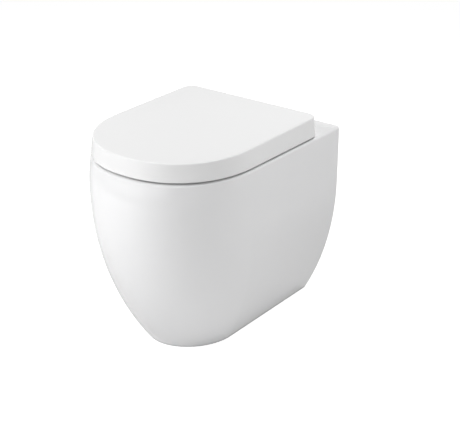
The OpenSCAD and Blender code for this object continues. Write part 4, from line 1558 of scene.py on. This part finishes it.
@made_once
def plated_zinc(settings):
    """Zinc plate with its faint spangle."""
    base = settings.finish.zinc
    material, tree, shader = new_material("zinc_steel", base, roughness=0.42, Metallic=1.0)
    coordinates = tree.nodes.new("ShaderNodeTexCoord")
    spangle = tree.nodes.new("ShaderNodeTexVoronoi")
    spangle.inputs["Scale"].default_value = 140
    tree.links.new(coordinates.outputs["Object"], spangle.inputs["Vector"])
    add_tint(tree, shader, spangle.outputs["Distance"], darker(base, 0.8), base)
    add_roughness(tree, shader, spangle.outputs["Distance"], low=0.34, high=0.5)
    return material


@made_once
def plain_brass(settings):
    base = settings.finish.brass
    material, tree, shader = new_material("brass_nut", base, roughness=0.3, Metallic=1.0)
    tarnish = add_noise(tree, scale=80, detail=4)
    add_tint(tree, shader, tarnish, darker(base, 0.8), base)
    add_roughness(tree, shader, tarnish, low=0.22, high=0.42)
    return material


def grained(name, base, roughness):
    """A soft, finely grained finish, for rubber and nylon."""
    material, tree, shader = new_material(name, base, roughness)
    grain = add_noise(tree, scale=500, detail=3)
    add_tint(tree, shader, grain, darker(base, 0.85), base)
    add_bump(tree, shader, grain, strength=0.15, distance=0.0002)
    return material


@made_once
def black_rubber(settings):
    return grained("black_rubber", settings.finish.black_rubber, roughness=0.7)


@made_once
def white_rubber(settings):
    return grained("white_rubber", settings.finish.white_rubber, roughness=0.5)


@made_once
def white_nylon(settings):
    return grained("white_nylon", settings.finish.nylon, roughness=0.45)


# The finish of each material slot in the record
SLOT_FINISHES = {
    "glazed_ceramic": glaze,
    "white_duroplast": seat_plastic,
    "polished_hinge": polished_chrome,
    "stainless": brushed_steel,
    "zinc_steel": plated_zinc,
    "brass_nut": plain_brass,
    "black_rubber": black_rubber,
    "white_rubber": white_rubber,
    "white_nylon": white_nylon,
}


class TOILET_OT_finish_fittings(bpy.types.Operator):
    """Give each part that stays as the CAD made it, such as a stud or a nut, its finish"""

    bl_idname = "toilet.finish_fittings"
    bl_label = "Finish the fittings"

    def execute(self, context):
        settings = context.scene.toilet
        for part in frame["record"]["subparts"]:
            node = frame["nodes"][part["node"]]
            if node.hide_render:
                continue
            material = SLOT_FINISHES[part["material_slot"]](settings)
            if not node.material_slots:
                node.data.materials.append(material)
            for place in node.material_slots:
                place.material = material
        return {"FINISHED"}


# ---- Stage ----
# Where the lamps look, how far off they hang and how wide they are
LAMP_TARGET = Vector((0.0, 0.0, 0.25))
LAMP_DISTANCE = 2.2
LAMP_SIZE = 1.2


def direction(azimuth, elevation):
    """The way from the object to a lamp or the camera, where azimuth 0 is the front."""
    level = math.cos(elevation)
    return Vector((math.sin(azimuth) * level, -math.cos(azimuth) * level, math.sin(elevation)))


def light_from(name, azimuth, elevation, power):
    """A square lamp that looks at the object from a direction in degrees."""
    away = direction(math.radians(azimuth), math.radians(elevation))
    lamp = bpy.data.lights.new(name, "AREA")
    lamp.shape = "SQUARE"
    lamp.size = LAMP_SIZE
    lamp.energy = power
    thing = bpy.data.objects.new(name, lamp)
    thing.location = LAMP_TARGET + away * LAMP_DISTANCE
    thing.rotation_euler = away.to_track_quat("Z", "Y").to_euler()
    # Glossy surfaces mirror the white studio, not the lamps
    thing.visible_glossy = False
    bpy.context.scene.collection.objects.link(thing)


def seen_by(tree, *rays):
    """1 where one of these kinds of ray arrives, and 0 for other rays."""
    path = tree.nodes.new("ShaderNodeLightPath")
    last = path.outputs[rays[0]]
    for ray in rays[1:]:
        either = tree.nodes.new("ShaderNodeMath")
        either.operation = "MAXIMUM"
        tree.links.new(last, either.inputs[0])
        tree.links.new(path.outputs[ray], either.inputs[1])
        last = either.outputs[0]
    return last


def glowing(tree, colour_value, strength):
    """A plain diffuse surface that also glows, and the socket of its strength."""
    surface = tree.nodes.new("ShaderNodeBsdfDiffuse")
    surface.inputs["Color"].default_value = (colour_value, colour_value, colour_value, 1)
    glow = tree.nodes.new("ShaderNodeEmission")
    glow.inputs["Strength"].default_value = strength
    both = tree.nodes.new("ShaderNodeAddShader")
    tree.links.new(surface.outputs[0], both.inputs[0])
    tree.links.new(glow.outputs[0], both.inputs[1])
    return both.outputs[0], glow.inputs["Strength"]


def floor_material(settings):
    """A white floor that keeps the object's shadow, also where a piece mirrors it."""
    material = bpy.data.materials.new("white_floor")
    material.use_nodes = True
    tree = material.node_tree
    tree.nodes.clear()
    output = tree.nodes.new("ShaderNodeOutputMaterial")
    plain, plain_glow = glowing(tree, colour_value=0.7, strength=0.0)
    seen, _ = glowing(tree, colour_value=0.3, strength=settings.stage.floor_glow)
    mirrored = tree.nodes.new("ShaderNodeMath")
    mirrored.operation = "MULTIPLY"
    mirrored.inputs[1].default_value = settings.stage.mirror_glow
    tree.links.new(seen_by(tree, "Is Glossy Ray"), mirrored.inputs[0])
    tree.links.new(mirrored.outputs[0], plain_glow)
    pick_shader = tree.nodes.new("ShaderNodeMixShader")
    tree.links.new(seen_by(tree, "Is Camera Ray", "Is Transmission Ray"), pick_shader.inputs[0])
    tree.links.new(plain, pick_shader.inputs[1])
    tree.links.new(seen, pick_shader.inputs[2])
    tree.links.new(pick_shader.outputs[0], output.inputs["Surface"])
    return material


def set_world(settings):
    """Even light all round, behind which a white background is seen."""
    world = bpy.data.worlds.new("studio")
    bpy.context.scene.world = world
    world.use_nodes = True
    tree = world.node_tree
    tree.nodes.clear()
    output = tree.nodes.new("ShaderNodeOutputWorld")
    even = tree.nodes.new("ShaderNodeBackground")
    even.inputs["Strength"].default_value = settings.stage.world_level
    white = tree.nodes.new("ShaderNodeBackground")
    white.inputs["Strength"].default_value = 1.0
    for background in (even, white):
        background.inputs["Color"].default_value = (1, 1, 1, 1)
    pick_shader = tree.nodes.new("ShaderNodeMixShader")
    tree.links.new(
        seen_by(tree, "Is Camera Ray", "Is Glossy Ray", "Is Transmission Ray"),
        pick_shader.inputs[0],
    )
    tree.links.new(even.outputs[0], pick_shader.inputs[1])
    tree.links.new(white.outputs[0], pick_shader.inputs[2])
    tree.links.new(pick_shader.outputs[0], output.inputs["Surface"])


class TOILET_OT_set_stage(bpy.types.Operator):
    """Lay the pale floor, hang the lamps and place the camera"""

    bl_idname = "toilet.set_stage"
    bl_label = "Set the stage"

    def execute(self, context):
        settings = context.scene.toilet
        stage = settings.stage
        deselect()
        bpy.ops.mesh.primitive_plane_add(size=24, location=(0, 0, 0))
        floor = bpy.context.object
        floor.name = "floor"
        floor.data.materials.append(floor_material(settings))
        light_from("key_lamp", -40, 35, stage.key_power)
        light_from("front_lamp", -20, 10, stage.front_power)
        light_from("side_lamp", 60, 10, stage.side_power)
        light_from("rear_lamp", 135, 10, stage.rear_power)
        light_from("top_lamp", 135, 65, stage.top_power)
        light_from("back_lamp", 200, 12, stage.back_power)
        set_world(settings)
        self.place_camera(context, stage)
        context.scene.view_settings.view_transform = "Standard"
        return {"FINISHED"}

    def place_camera(self, context, stage):
        """The camera that frames the object as the photograph does."""
        width, height = 460, 447
        focal, centre_x, centre_y = 1158.2, 228.92, 217.55
        target = Vector((0.0, 0.0978, 0.210))
        back = direction(stage.azimuth, stage.elevation)
        camera_data = bpy.data.cameras.new("camera")
        camera_data.sensor_width = 36.0
        camera_data.lens = focal / width * camera_data.sensor_width
        camera_data.shift_x = (width / 2 - centre_x) / width
        camera_data.shift_y = (centre_y - height / 2) / width
        camera = bpy.data.objects.new("camera", camera_data)
        camera.location = target + back * stage.distance
        camera.rotation_euler = back.to_track_quat("Z", "Y").to_euler()
        context.scene.collection.objects.link(camera)
        context.scene.camera = camera


class TOILET_PT_panel(bpy.types.Panel):
    """Sizes, finishes and steps of the toilet"""

    bl_idname = "TOILET_PT_panel"
    bl_label = "Back to wall toilet"
    bl_space_type = "VIEW_3D"
    bl_region_type = "UI"
    bl_category = "Toilet"

    def draw(self, context):
        settings = context.scene.toilet
        for step in STEPS:
            self.layout.operator(step.bl_idname)
        for group_name in settings.bl_rna.properties.keys():
            group = getattr(settings, group_name, None)
            if not isinstance(group, bpy.types.PropertyGroup):
                continue
            box = self.layout.box()
            box.label(text=group_name.capitalize())
            for name in group.__annotations__:
                box.prop(group, name)


GROUPS = (
    PanSizes,
    BowlSizes,
    WaterwaySizes,
    FixingSizes,
    SeatSizes,
    LidSizes,
    HingeSizes,
    BracketSizes,
    Finishes,
    StageSettings,
    ToiletSettings,
)
STEPS = (
    TOILET_OT_model_pan,
    TOILET_OT_model_seat,
    TOILET_OT_model_lid,
    TOILET_OT_model_hinge_bases,
    TOILET_OT_model_seat_fittings,
    TOILET_OT_model_lid_fittings,
    TOILET_OT_model_brackets,
    TOILET_OT_model_inlet_seal,
    TOILET_OT_finish_fittings,
    TOILET_OT_set_stage,
)
CLASSES = GROUPS + STEPS + (TOILET_PT_panel,)


def register():
    for item in CLASSES:
        bpy.utils.register_class(item)
    bpy.types.Scene.toilet = PointerProperty(type=ToiletSettings)


def unregister():
    del bpy.types.Scene.toilet
    for item in reversed(CLASSES):
        bpy.utils.unregister_class(item)


def main():
    register()
    bpy.ops.toilet.model_pan()
    bpy.ops.toilet.model_seat()
    bpy.ops.toilet.model_lid()
    bpy.ops.toilet.model_hinge_bases()
    bpy.ops.toilet.model_seat_fittings()
    bpy.ops.toilet.model_lid_fittings()
    bpy.ops.toilet.model_brackets()
    bpy.ops.toilet.model_inlet_seal()
    bpy.ops.toilet.finish_fittings()
    bpy.ops.toilet.set_stage()


if __name__ == "__main__":
    main()
